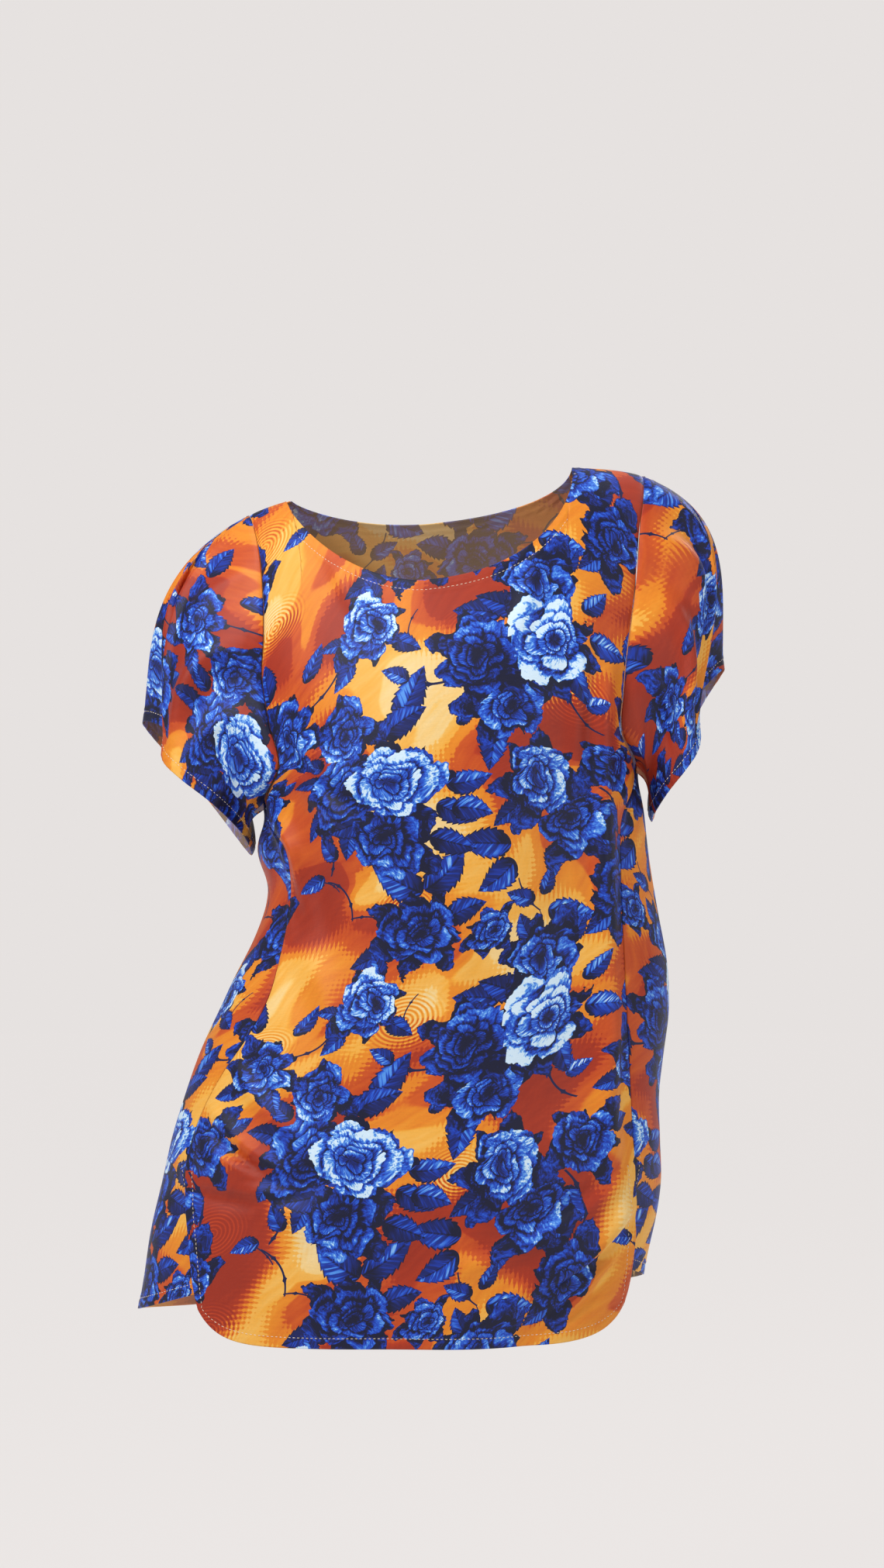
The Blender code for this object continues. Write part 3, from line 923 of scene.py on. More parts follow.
def mapTo(tree, value, low, high, first=0.0, last=1.0):
    node = tree.nodes.new("ShaderNodeMapRange")
    node.interpolation_type = "SMOOTHSTEP"
    for target, given in zip(("Value", "From Min", "From Max", "To Min", "To Max"),
                             (value, low, high, first, last)):
        plug(tree, given, node.inputs[target])
    return node.outputs["Result"]


def noise(tree, vector, scale, detail=1.0, rough=0.5, colour=False):
    node = tree.nodes.new("ShaderNodeTexNoise")
    plug(tree, vector, node.inputs["Vector"])
    node.inputs["Scale"].default_value = scale
    node.inputs["Detail"].default_value = detail
    node.inputs["Roughness"].default_value = rough
    return node.outputs["Color" if colour else "Fac"]


def evenNoise(tree, vector, scale, detail=1.0, rough=0.5):
    # noise less its middle value
    return minus(tree, noise(tree, vector, scale, detail, rough), 0.5)


def wander(tree, vector, scale, detail, rough, amount):
    # a soft push this way and that
    push = noise(tree, vector, scale, detail, rough, colour=True)
    return calcVector(tree, "SCALE", calcVector(tree, "SUBTRACT", push, (0.5, 0.5, 0.5)), scale=amount)


def joined(tree, x, y, z=0.0):
    node = tree.nodes.new("ShaderNodeCombineXYZ")
    for target, value in zip(node.inputs, (x, y, z)):
        plug(tree, value, target)
    return node.outputs[0]


def parted(tree, vector):
    node = tree.nodes.new("ShaderNodeSeparateXYZ")
    plug(tree, vector, node.inputs[0])
    return node.outputs[0], node.outputs[1], node.outputs[2]


def mixed(tree, share, first, second):
    node = tree.nodes.new("ShaderNodeMix")
    node.data_type = "RGBA"
    node.clamp_factor = True
    plug(tree, share, node.inputs["Factor"])
    plug(tree, first, node.inputs[6])
    plug(tree, second, node.inputs[7])
    return node.outputs[2]


def ramp(tree, value, stops):
    node = tree.nodes.new("ShaderNodeValToRGB")
    band = node.color_ramp
    while len(band.elements) < len(stops):
        band.elements.new(0.5)
    for element, (place, colour) in zip(band.elements, stops):
        element.position = place
        element.color = (*colour, 1.0)
    plug(tree, value, node.inputs[0])
    return node.outputs[0]


kinds = {"f": "NodeSocketFloat", "v": "NodeSocketVector", "c": "NodeSocketColor"}


def newGroup(name, inputs, outputs):
    # inputs and outputs are pairs of name and kind, such as "place v cover f"
    tree = bpy.data.node_groups.new(name, "ShaderNodeTree")
    for way, pairs in (("INPUT", inputs.split()), ("OUTPUT", outputs.split())):
        for label, kind in zip(pairs[::2], pairs[1::2]):
            tree.interface.new_socket(name=label, in_out=way, socket_type=kinds[kind])
    given = tree.nodes.new("NodeGroupInput").outputs
    result = tree.nodes.new("NodeGroupOutput").inputs
    return tree, given, result


def use(tree, group, **values):
    node = tree.nodes.new("ShaderNodeGroup")
    node.node_tree = group
    for label, value in values.items():
        plug(tree, value, node.inputs[label])
    return node.outputs


def petalRingGroup():
    # one ring of petals: a scalloped edge, light rims, dark gaps and a shadow on what is under it
    inputs = "turns f radius f under f cover f size f petals f phase f seed f base f rim f "
    inputs += "ragged f streak f scallop f sharp f uneven f"
    tree, given, result = newGroup("petalRing", inputs, "value f cover f")
    place = timesPlus(tree, given["turns"], given["petals"], given["phase"])
    cell = calc(tree, "FLOOR", place)
    share = minus(tree, place, cell)
    petal = calc(tree, "FLOORED_MODULO", cell, given["petals"])
    chance = tree.nodes.new("ShaderNodeTexWhiteNoise")
    chance.noise_dimensions = "1D"
    plug(tree, timesPlus(tree, given["seed"], 7.13, petal), chance.inputs["W"])
    luck = chance.outputs["Value"]
    side = calc(tree, "ABSOLUTE", timesPlus(tree, share, 2.0, -1.0))
    arch = minus(tree, 1.0, calc(tree, "POWER", side, given["sharp"]))
    reach = timesPlus(tree, arch, given["scallop"], minus(tree, 1.0, given["scallop"]))
    reach = timesPlus(tree, minus(tree, luck, 0.5), given["uneven"], reach)
    reach = timesPlus(tree, given["ragged"], 0.20, reach)
    edge = calc(tree, "DIVIDE", given["radius"], times(tree, reach, given["size"]))
    cover = calc(tree, "LESS_THAN", edge, 1.0)
    rise = mapTo(tree, edge, 0.36, 0.92)
    tone = timesPlus(tree, luck, 0.75, timesPlus(tree, given["streak"], 1.1, 0.34))
    rimLight = times(tree, times(tree, rise, tone), given["rim"])
    line = mapTo(tree, edge, 0.955, 1.0, 0.0, 0.24)
    gap = mapTo(tree, side, 0.70, 1.0, 0.0, 0.42)
    gap = times(tree, gap, mapTo(tree, edge, 1.0, 0.55, 0.45, 1.0))
    # one half of each petal turns up to the light
    turned = mapTo(tree, share, 0.15, 0.75, 0.0, 0.20)
    value = plus(tree, given["base"], rimLight)
    value = timesPlus(tree, turned, rise, value)
    value = timesPlus(tree, given["streak"], 1.15, value)
    value = minus(tree, value, plus(tree, line, gap))
    shadow = mapTo(tree, edge, 1.30, 1.0, 0.0, 0.42)
    under = minus(tree, given["under"], shadow)
    span = minus(tree, value, under)
    plug(tree, timesPlus(tree, span, cover, under), result["value"])
    plug(tree, calc(tree, "MAXIMUM", cover, given["cover"]), result["cover"])
    return tree


roseRings = (
    # size, petals, base, rim, scallop, sharpness of its petals, inner rings use the inner middle
    (1.40, 7.0, -0.06, 0.24, 0.46, 1.05, False),
    (1.04, 6.0, 0.08, 0.66, 0.22, 2.8, False),
    (0.86, 5.0, 0.10, 0.70, 0.20, 2.6, False),
    (0.66, 5.0, 0.08, 0.74, 0.22, 2.4, True),
    (0.46, 4.0, 0.00, 0.78, 0.24, 2.2, True),
    (0.27, 3.0, -0.10, 0.66, 0.28, 2.0, True),
)


def roseGroup(petalRing):
    tree, given, result = newGroup("rose", "place v", "value f cover f")
    x, y, code = parted(tree, given["place"])
    seed = calc(tree, "FLOOR", code)
    light = minus(tree, code, seed)
    own = times(tree, seed, 2.3)
    flatPlace = joined(tree, x, y, own)
    bent = calcVector(tree, "ADD", joined(tree, x, times(tree, y, 1.14)),
                      wander(tree, flatPlace, 1.3, 1.0, 0.45, 0.72))
    bentX, bentY, _ = parted(tree, bent)
    ragged = evenNoise(tree, flatPlace, 7.5, 1.5, 0.6)
    middle = [times(tree, calc(tree, way, own), 0.15) for way in ("COSINE", "SINE")]
    polar = []
    for shiftX, shiftY in ((0.0, 0.0), middle):
        across = minus(tree, bentX, shiftX)
        up = minus(tree, bentY, shiftY)
        square = timesPlus(tree, across, across, times(tree, up, up))
        radius = calc(tree, "SQRT", square)
        turns = times(tree, calc(tree, "ARCTAN2", up, across), 1 / (2 * math.pi))
        polar.append((turns, radius, across, up))
    turns, radius, across, up = polar[1]
    safe = calc(tree, "MAXIMUM", radius, 0.02)
    spokes = joined(tree, calc(tree, "DIVIDE", across, safe), calc(tree, "DIVIDE", up, safe),
                    timesPlus(tree, radius, 0.9, seed))
    streak = evenNoise(tree, spokes, 11.0, 2.0, 0.68)
    # broad light and dark places over the whole rose
    patch = evenNoise(tree, flatPlace, 1.9, 0.0)
    lit = timesPlus(tree, up, 0.12, times(tree, across, -0.09))
    lit = timesPlus(tree, patch, 0.55, lit)
    tone = timesPlus(tree, light, 0.40, plus(tree, lit, 0.05))
    rimTone = timesPlus(tree, light, 0.80, 0.16)
    value = 0.0
    cover = 0.0
    for k, (size, petals, base, rim, scallop, sharp, inner) in enumerate(roseRings):
        ownTurns, ownRadius, _, _ = polar[1 if inner else 0]
        leafy = k == 0
        ring = use(
            tree, petalRing, turns=ownTurns, radius=ownRadius, under=value, cover=cover, size=size,
            petals=petals, phase=timesPlus(tree, seed, 0.37 + 0.11 * k, 0.4 * k),
            seed=timesPlus(tree, seed, 3.1, 17.0 * k),
            base=base if leafy else plus(tree, tone, base - 0.02 * k),
            rim=rim if leafy else times(tree, rimTone, rim),
            ragged=ragged, streak=streak, scallop=scallop, sharp=sharp, uneven=0.55 if leafy else 0.22,
        )
        value = ring["value"]
        cover = ring["cover"]
    plug(tree, value, result["value"])
    plug(tree, cover, result["cover"])
    return tree


def leafGroup():
    # a broad pointed leaf with a toothed edge: x runs from its foot to its tip, y across
    tree, given, result = newGroup("leaf", "place v", "value f cover f")
    x, y, code = parted(tree, given["place"])
    seed = calc(tree, "FLOOR", code)
    light = minus(tree, code, seed)
    luck = calc(tree, "FRACT", times(tree, seed, 0.377))
    bow = timesPlus(tree, luck, 0.60, -0.30)
    middle = times(tree, times(tree, x, minus(tree, 1.0, x)), bow)
    off = minus(tree, y, middle)
    side = calc(tree, "ABSOLUTE", off)
    inX = calc(tree, "MINIMUM", calc(tree, "MAXIMUM", x, 0.0), 1.0)
    wide = times(tree, calc(tree, "POWER", inX, 0.62),
                calc(tree, "POWER", minus(tree, 1.0, inX), 1.08))
    teeth = calc(tree, "FRACT", timesPlus(tree, inX, 8.0, seed))
    wide = times(tree, wide, timesPlus(tree, teeth, -0.17, 0.96))
    wide = times(tree, wide, timesPlus(tree, luck, 0.24, 0.88))
    edge = calc(tree, "DIVIDE", side, calc(tree, "MAXIMUM", wide, 0.0001))
    cover = calc(tree, "LESS_THAN", edge, 1.0)
    # light brush strokes run from the middle rib forward to the edge
    ahead = timesPlus(tree, side, -0.95, x)
    bristles = joined(tree, ahead, times(tree, off, 0.22), times(tree, seed, 1.7))
    stroke = mapTo(tree, noise(tree, bristles, 15.0, 1.0, 0.55), 0.40, 0.66)
    lit = mapTo(tree, off, -0.10, 0.07, 0.30, 1.0)
    stroke = times(tree, stroke, lit)
    body = times(tree, stroke, mapTo(tree, edge, 1.0, 0.62, 0.30, 1.0))
    value = timesPlus(tree, light, 0.36, 0.10)
    value = timesPlus(tree, body, timesPlus(tree, light, 0.62, 0.24), value)
    value = plus(tree, value, mapTo(tree, off, -0.04, 0.05, -0.06, 0.06))
    # darker at its rib, at its edge and at its foot
    darker = ((side, 0.026, 0.006, 0.20), (edge, 0.84, 0.97, 0.26), (x, 0.38, 0.0, 0.34))
    for measure, low, high, amount in darker:
        value = minus(tree, value, mapTo(tree, measure, low, high, 0.0, amount))
    plug(tree, value, result["value"])
    plug(tree, cover, result["cover"])
    return tree


def stemGroup():
    # a thin bowed stem with small thorns
    tree, given, result = newGroup("stem", "place v", "cover f")
    x, y, bow = parted(tree, given["place"])
    arc = times(tree, times(tree, x, minus(tree, 1.0, x)), bow)
    off = calc(tree, "ABSOLUTE", minus(tree, y, times(tree, arc, 4.0)))
    thorn = calc(tree, "POWER", calc(tree, "PINGPONG", times(tree, x, 4.0), 1.0), 9.0)
    wide = timesPlus(tree, thorn, 0.035, 0.020)
    inside = calc(tree, "LESS_THAN", calc(tree, "ABSOLUTE", minus(tree, x, 0.5)), 0.54)
    plug(tree, times(tree, calc(tree, "LESS_THAN", off, wide), inside), result["cover"])
    return tree


ground = {
    "combPitch": 0.0041,
    "combReach": 0.0090,
    "ringsPerRipple": 10.0,
    "ringPush": 0.0044,
    "ringShade": 0.15,
    "depth": 0.37,
    "zoneOuter": 1.45,
    "zoneInner": 0.5,
    "levels": (0.335, 0.455, 0.575, 0.70),
}


def turnedPlace(tree, place, across, up, depth):
    # a place turned and stretched, each way a sum of shares of x and y
    ways = []
    for shareX, shareY in (across, up):
        ways.append(timesPlus(tree, place[0], shareX, times(tree, place[1], shareY)))
    return joined(tree, *ways, depth)


def groundGroup():
    # marbled ground: creamy gold through orange to rust in broad places that meet in combed
    # borders, with brushed streaks and ripples
    tree, given, result = newGroup("marbledGround", "place v ripple v", "colour c")
    px, py, _ = parted(tree, given["place"])
    rx, ry, _ = parted(tree, given["ripple"])
    away = calcVector(tree, "LENGTH", joined(tree, rx, times(tree, ry, 1.25)))
    fade = mapTo(tree, away, 1.0, 0.45)
    ring = calc(tree, "SINE", times(tree, away, 2 * math.pi * ground["ringsPerRipple"]))
    ring = times(tree, ring, fade)
    moved = calcVector(tree, "ADD", given["place"], wander(tree, given["place"], 10.0, 1.5, 0.5, 0.075))
    mx, my, _ = parted(tree, moved)
    # teeth: each way is pushed by a saw that runs along the other
    teeth = mapTo(tree, noise(tree, given["place"], 14.0, 0.0), 0.36, 0.56)
    pushed = []
    for value, along in ((mx, py), (my, px)):
        saw = calc(tree, "PINGPONG", times(tree, along, 1 / ground["combPitch"]), 0.5)
        saw = times(tree, timesPlus(tree, saw, 2.0, -0.5), teeth)
        value = timesPlus(tree, saw, ground["combReach"], value)
        pushed.append(timesPlus(tree, ring, ground["ringPush"], value))
    marbled = joined(tree, *pushed, ground["depth"])
    streaky = turnedPlace(tree, pushed, (0.80, 0.60), (-1.9, 2.5), 0.11)
    broad = evenNoise(tree, marbled, 9.0, 0.0)
    sweep = evenNoise(tree, streaky, 8.0, 0.5)
    value = timesPlus(tree, broad, 0.78, timesPlus(tree, sweep, 0.60, 0.456))
    for x, y, radius, amount in groundZones:
        distance = calcVector(tree, "DISTANCE", marbled, (x / 1000, y / 1000, ground["depth"]))
        outer = radius * ground["zoneOuter"] / 1000
        inner = radius * ground["zoneInner"] / 1000
        value = plus(tree, value, mapTo(tree, distance, outer, inner, 0.0, amount))
    # flat places with short steps between them, and a soft run of shade inside each
    stepped = 0.15
    for level in ground["levels"]:
        stepped = plus(tree, stepped, mapTo(tree, value, level - 0.012, level + 0.012, 0.0, 0.124))
    value = timesPlus(tree, value, 0.25, stepped)
    brush = turnedPlace(tree, (mx, my), (26.0, 20.0), (-110.0, 130.0), 0.0)
    value = timesPlus(tree, evenNoise(tree, brush, 1.0, 1.5, 0.6), 0.14, value)
    value = timesPlus(tree, ring, ground["ringShade"], value)
    colour = ramp(tree, value, (
        (0.16, (0.300, 0.022, 0.006)),
        (0.32, (0.440, 0.038, 0.007)),
        (0.42, (0.610, 0.105, 0.009)),
        (0.53, (0.740, 0.235, 0.012)),
        (0.64, (0.810, 0.370, 0.035)),
        (0.76, (0.840, 0.520, 0.135)),
        (0.92, (0.810, 0.640, 0.340)),
    ))
    plug(tree, colour, result["colour"])
    return tree


def blueInkGroup():
    tree, given, result = newGroup("blueInk", "value f", "colour c")
    colour = ramp(tree, given["value"], (
        (0.02, (0.0025, 0.004, 0.028)),
        (0.20, (0.004, 0.012, 0.120)),
        (0.40, (0.005, 0.038, 0.400)),
        (0.60, (0.014, 0.095, 0.620)),
        (0.80, (0.070, 0.270, 0.780)),
        (0.93, (0.300, 0.560, 0.880)),
        (1.00, (0.620, 0.790, 0.930)),
    ))
    plug(tree, colour, result["colour"])
    return tree


def weaveGroup():
    # fine crepe: two sets of threads and a little unevenness
    tree, given, result = newGroup("crepeWeave", "place v", "height f shade f")
    x, y, _ = parted(tree, given["place"])
    warp = calc(tree, "SINE", times(tree, x, 2 * math.pi / 0.00055))
    weft = calc(tree, "SINE", times(tree, y, 2 * math.pi / 0.00070))
    grain = noise(tree, given["place"], 620.0, 1.0)
    slub = noise(tree, calcVector(tree, "MULTIPLY", given["place"], (1.0, 9.0, 1.0)), 90.0, 1.0)
    height = timesPlus(tree, times(tree, warp, weft), 0.30, grain)
    plug(tree, timesPlus(tree, slub, 0.5, height), result["height"])
    shade = plus(tree, times(tree, grain, 0.10), times(tree, slub, 0.10))
    plug(tree, plus(tree, shade, 0.90), result["shade"])
    return tree


groups = {
    "rose": roseGroup(petalRingGroup()),
    "leaf": leafGroup(),
    "stem": stemGroup(),
    "ground": groundGroup(),
    "ink": blueInkGroup(),
    "weave": weaveGroup(),
}

clothLook = {
    "roughness": 0.46,
    "sheen": 0.05,
    "specular": 0.34,
    "wrongSidePale": 0.34,
    "paleColour": (0.80, 0.56, 0.33, 1.0),
    "stemColour": (0.004, 0.008, 0.060, 1.0),
    "threadDark": (0.62, 0.50, 0.36, 1.0),
    "threadPale": (0.86, 0.78, 0.66, 1.0),
}


def attributeVector(tree, name):
    node = tree.nodes.new("ShaderNodeAttribute")
    node.attribute_name = name
    return node.outputs["Vector"]


def newMaterial(name):
    material = bpy.data.materials.new(name)
    material.use_nodes = True
    tree = material.node_tree
    return material, tree, tree.nodes["Principled BSDF"].inputs


def objectPlace(tree):
    return tree.nodes.new("ShaderNodeTexCoord").outputs["Object"]


def printedCloth(name, wrongSide=False):
    material, tree, shader = newMaterial(name)
    cut = tree.nodes.new("ShaderNodeUVMap")
    cut.uv_map = "cut"
    place = cut.outputs["UV"]
    colour = use(tree, groups["ground"], place=place, ripple=attributeVector(tree, "ripple"))["colour"]
    for layer in ("stemLow", "stemHigh"):
        stem = use(tree, groups["stem"], place=attributeVector(tree, layer))
        colour = mixed(tree, stem["cover"], colour, clothLook["stemColour"])
    value = 0.0
    cover = 0.0
    for layer in ("leafLow", "leafMid", "leafHigh", "roseLow", "roseHigh"):
        kind = "leaf" if layer.startswith("leaf") else "rose"
        motif = use(tree, groups[kind], place=attributeVector(tree, layer))
        span = minus(tree, motif["value"], value)
        value = timesPlus(tree, span, motif["cover"], value)
        cover = calc(tree, "MAXIMUM", cover, motif["cover"])
    ink = use(tree, groups["ink"], value=value)
    colour = mixed(tree, cover, colour, ink["colour"])
    if wrongSide:
        colour = mixed(tree, clothLook["wrongSidePale"], colour, clothLook["paleColour"])
    weave = use(tree, groups["weave"], place=place)
    shade = joined(tree, weave["shade"], weave["shade"], weave["shade"])
    plug(tree, calcVector(tree, "MULTIPLY", colour, shade), shader["Base Color"])
    rough = clothLook["roughness"] + (0.16 if wrongSide else -0.06)
    plug(tree, timesPlus(tree, weave["height"], 0.10, rough), shader["Roughness"])
    bump = tree.nodes.new("ShaderNodeBump")
    bump.inputs["Strength"].default_value = 0.35
    bump.inputs["Distance"].default_value = 0.00025
    plug(tree, weave["height"], bump.inputs["Height"])
    plug(tree, bump.outputs["Normal"], shader["Normal"])
    shader["Sheen Weight"].default_value = clothLook["sheen"]
    shader["Sheen Roughness"].default_value = 0.4
    shader["Specular IOR Level"].default_value = clothLook["specular"]
    return material


def sewingThread():
    material, tree, shader = newMaterial("sewingThread")
    twist = noise(tree, objectPlace(tree), 1400.0, 1.0)
    plug(tree, mixed(tree, twist, clothLook["threadDark"], clothLook["threadPale"]), shader["Base Color"])
    plug(tree, timesPlus(tree, twist, 0.2, 0.55), shader["Roughness"])
    shader["Sheen Weight"].default_value = 0.2
    return material


rightSide = printedCloth("printedSatin")
wrongSide = printedCloth("printedSatinWrongSide", wrongSide=True)
thread = sewingThread()
print("materials made")

panel = {
    "columns": 112,
    "evenRow": 7.0,
    "upperRows": 56,
    "lowerRows": 122,
    "cornerSteps": (-0.0030, -0.0015, -0.0005, 0.0005, 0.0012, 0.0022, 0.0036, 0.0055),
    "halfLength": 0.24,
    "neckLength": 0.18,
    "leastStep": 0.0016,
    "fineRows": 240,
    "tableAcross": 80,
    "tableRows": 10,
    "middle": (0.02, 0.0, 0.0),
    "slitFade": 0.4,
    "slitStitch": 0.12,
    "calmSeam": 0.010,
    "calmNeck": 0.016,
    "waveFade": 0.03,
    "puckerReach": 0.007,
    "shutReach": 0.004,
    "shutGap": 0.00005,
}


def solveAcross(side, row, x):
    # place across a panel at which it lies at x
    low, high = -1.0, 1.0
    for _ in range(40):
        middle = (low + high) / 2
        if bodyPoint(side, row, middle)[0] < x:
            low = middle
        else:
            high = middle
    return (low + high) / 2


def panelAcross(side):
    places = list(np.linspace(-1, 1, panel["columns"]))
    for inset in edgeBand[1:]:
        places += [-1 + inset / panel["halfLength"], 1 - inset / panel["halfLength"]]
    for name, way in (("left", 1), ("right", -1)):
        middle = solveAcross(side, 0.4, neck[name])
        places += [middle + way * step / panel["neckLength"] for step in panel["cornerSteps"]]
    places = np.unique(np.round(places, 5))
    kept = [places[0]]
    for place in places[1:-1]:
        if place - kept[-1] > panel["leastStep"]:
            kept.append(place)
    kept.append(places[-1])
    return np.array(kept)


def makePanel(name, side, creases, printShift, mirror, seed):
    across = panelAcross(side)
    depth = neck["front"] if side == "front" else neck["back"]
    low = np.zeros(len(across))
    high = np.full(len(across), 9.0)

    def below(row):
        point = bodyPoint(side, row, across)
        edge = tilted(point[:, 0], neckHeight(point[:, 0], depth))
        return (point[:, 2] < edge) | ~insideNeck(point[:, 0])

    for _ in range(40):
        middle = (low + high) / 2
        under = below(middle)
        high = np.where(under, middle, high)
        low = np.where(under, low, middle)
    top = np.where(below(np.zeros(len(across))), 0.0, high)
    openTop = top > 1e-4

    # rows of each column down the cloth, closer at both ends; from the chest down they run level
    shares = np.linspace(0, 1, panel["fineRows"])
    fine = top[:, None] + (hemRow - top[:, None]) * shares[None]
    run = lengthsAlong(bodyPoint(side, fine, across[:, None]), 1)
    rows = []
    for c in range(len(across)):
        total = run[c, -1]
        even = np.interp(panel["evenRow"], fine[c], run[c])
        upper = np.linspace(edgeBand[-1], even, panel["upperRows"])
        lower = np.linspace(even, total - edgeBand[-1], panel["lowerRows"])[1:]
        last = total - np.array(edgeBand[:-1])[::-1]
        rows.append(np.interp(np.concatenate([edgeBand[:-1], upper, lower, last]), run[c], fine[c]))
    rows = np.array(rows)
    points = bodyPoint(side, rows, across[:, None])

    # the flat cut: lengths across from the middle and down from the shoulder line
    half = panel["tableAcross"]
    wideRows = np.linspace(0, hemRow, hemRow * panel["tableRows"] + 1)
    wideAcross = np.linspace(-1, 1, 2 * half + 1)
    table = bodyPoint(side, wideRows[None, :], wideAcross[:, None])
    acrossLength = lengthsAlong(table, 0)
    acrossLength = acrossLength - acrossLength[half:half + 1]
    downLength = lengthsAlong(table, 1)
    columnPlace = np.broadcast_to(((across + 1) * half)[:, None], rows.shape)
    rowPlace = rows * panel["tableRows"]
    u = sample(acrossLength, rowPlace, columnPlace)
    v = sample(downLength, rowPlace, columnPlace)
    uLeft = sample(acrossLength, rowPlace, np.zeros_like(rowPlace))
    uRight = sample(acrossLength, rowPlace, np.full_like(rowPlace, 2.0 * half))
    fromTop = lengthsAlong(points, 1)
    fromHem = fromTop[:, -1:] - fromTop
    fromSide = np.minimum(u - uLeft, uRight - u)

    # distance from the neck edge
    edgePoints = points[openTop, 0]
    flatPoints = points.reshape(-1, 3)
    fromNeck = np.full(len(flatPoints), 1.0)
    for start in range(0, len(flatPoints), 4000):
        piece = flatPoints[start:start + 4000]
        gap = np.linalg.norm(piece[:, None] - edgePoints[None], axis=-1)
        fromNeck[start:start + 4000] = gap.min(1)
    fromNeck = fromNeck.reshape(rows.shape)

    belowSlit = smoothStep((rows - form["slit"]) / panel["slitFade"])
    openSide = np.where(belowSlit > 0, fromSide / np.maximum(belowSlit, 1e-3), 1.0)
    fromOpen = np.minimum(np.minimum(fromNeck, fromHem), openSide)
    seamTop = np.where(openTop[:, None], 1.0, fromTop)
    fromSeam = np.minimum(fromSide + belowSlit, seamTop)

    normals = gridNormals(points)
    x = points[..., 0]
    z = points[..., 2]
    calm = smoothStep(fromSeam / panel["calmSeam"]) * smoothStep(fromNeck / panel["calmNeck"])
    free = smoothStep(fromSeam / panel["waveFade"]) * smoothStep(fromNeck / panel["waveFade"])
    lift = creaseHeight(creases, x, z) * calm + sheetCut["wave"] * looseWaves(x, z, seed) * free
    run = u + v * 0.6
    pull = 0.5 * np.sin(run * 2 * math.pi / sheetCut["puckerPitch"] + 2.0 * np.sin(run * 61))
    lift = lift + sewnRelief(fromOpen, fromSeam, pull, panel["puckerReach"])
    fromMiddle = (points - np.array(panel["middle"])) * (1, 1, 0)
    outward = normals * np.sign(np.sum(normals * fromMiddle, -1).mean())
    points = points + outward * lift[..., None]
    # the shoulder seam is drawn shut, so that no light shows through it
    shut = np.exp(-(seamTop / panel["shutReach"]) ** 2) * np.where(openTop, 0.0, 1.0)[:, None]
    edgeGap = points[:, :1, 1] - (-panel["shutGap"] if side == "front" else panel["shutGap"])
    points[..., 1] = points[..., 1] - edgeGap * shut

    middleV = sample(downLength, np.array([printShift[2] * panel["tableRows"]]), np.array([half]))[0]
    cut = np.stack([(u if not mirror else -u) + printShift[0], printShift[1] - (v - middleV)], -1)
    piece, area = addSheet(name, points, cut, (rightSide, wrongSide))
    width = float((uRight - uLeft).max())
    long = float(v.max())
    normals = gridNormals(points)
    normals = normals * np.sign(np.sum(normals * outward))
    marks = {
        "points": points, "normals": normals, "rows": rows, "fromSide": fromSide,
        "fromHem": fromHem, "fromNeck": fromNeck,
    }
    print(name, "cut", round(width, 3), "by", round(long, 3))
    return piece, marks, (width, long, area)


def lineOn(points, normals, places):
    # the line through a list of places, each a column and a row of the grid
    c, r = np.array(places, float).T
    return sample(points, r, c), unitRows(sample(normals, r, c))


def panelStitches(marks):
    # one line of stitches along the neck, and one down a slit, along the hem and up the other slit
    inset = sheetCut["stitchInset"]
    columns, rows = marks["rows"].shape
    along = []
    for c in range(columns):
        place = crossing(marks["fromNeck"][c], inset)
        if place is not None:
            along.append((c, place))
    left = []
    right = []
    for r in range(rows):
        if marks["rows"][0, r] < form["slit"] + panel["slitStitch"] or marks["fromHem"][0, r] < inset:
            continue
        gap = marks["fromSide"][:, r]
        middle = columns // 2
        place = crossing(gap[:middle], inset)
        if place is not None:
            left.append((place, r))
        place = crossing(gap[::-1][:middle], inset)
        if place is not None:
            right.append((columns - 1 - place, r))
    low = []
    for c in range(columns):
        if marks["fromSide"][c, -1] < inset:
            continue
        place = crossing(marks["fromHem"][c, ::-1], inset)
        if place is not None:
            low.append((c, rows - 1 - place))
    ways = (along, left + low + right[::-1])
    return [lineOn(marks["points"], marks["normals"], places) for places in ways]


pieces = {}
lines = {}
# in brackets the print's shift across and up, and the ring at which its height is the form's
pieces["front"] = makePanel("front_cloth", "front", frontCreases, (0.0235, -0.236, 8.61), False, 1)
lines["front"] = panelStitches(pieces["front"][1])
pieces["back"] = makePanel("back_cloth", "back", backCreases, (0.655, -0.236, 8.61), True, 4)
lines["back"] = panelStitches(pieces["back"][1])
print("panels made")

sleeveForm = {
    "capFullness": 1.6,
    "cuffFlare": 0.85,
    "around": 144,
    "down": 66,
    "solidSteps": 14,
    "fineSteps": 120,
    "girth": 0.42,
    "calmTop": 0.016,
    "calmCuff": 0.03,
    "calmUnder": 0.09,
    "puckerReach": 0.009,
    "puckerMore": 1.1,
}
# cuffs: share of the way round, then x, y and z
leftCuff = (
    (0.00, -0.214, 0.000, -0.194), (0.07, -0.212, -0.030, -0.207), (0.14, -0.210, -0.052, -0.222),
    (0.24, -0.194, -0.068, -0.237), (0.37, -0.168, -0.060, -0.258), (0.50, -0.147, -0.012, -0.284),
    (0.62, -0.145, 0.034, -0.301), (0.74, -0.182, 0.066, -0.257), (0.85, -0.222, 0.070, -0.212),
    (0.93, -0.238, 0.040, -0.188),
)
rightCuff = (
    (0.00, 0.234, 0.000, -0.168), (0.07, 0.233, -0.030, -0.186), (0.14, 0.232, -0.052, -0.209),
    (0.24, 0.220, -0.066, -0.228), (0.37, 0.205, -0.058, -0.248), (0.50, 0.197, -0.012, -0.267),
    (0.62, 0.201, 0.034, -0.270), (0.74, 0.218, 0.064, -0.226), (0.85, 0.246, 0.068, -0.172),
    (0.93, 0.262, 0.040, -0.142),
)


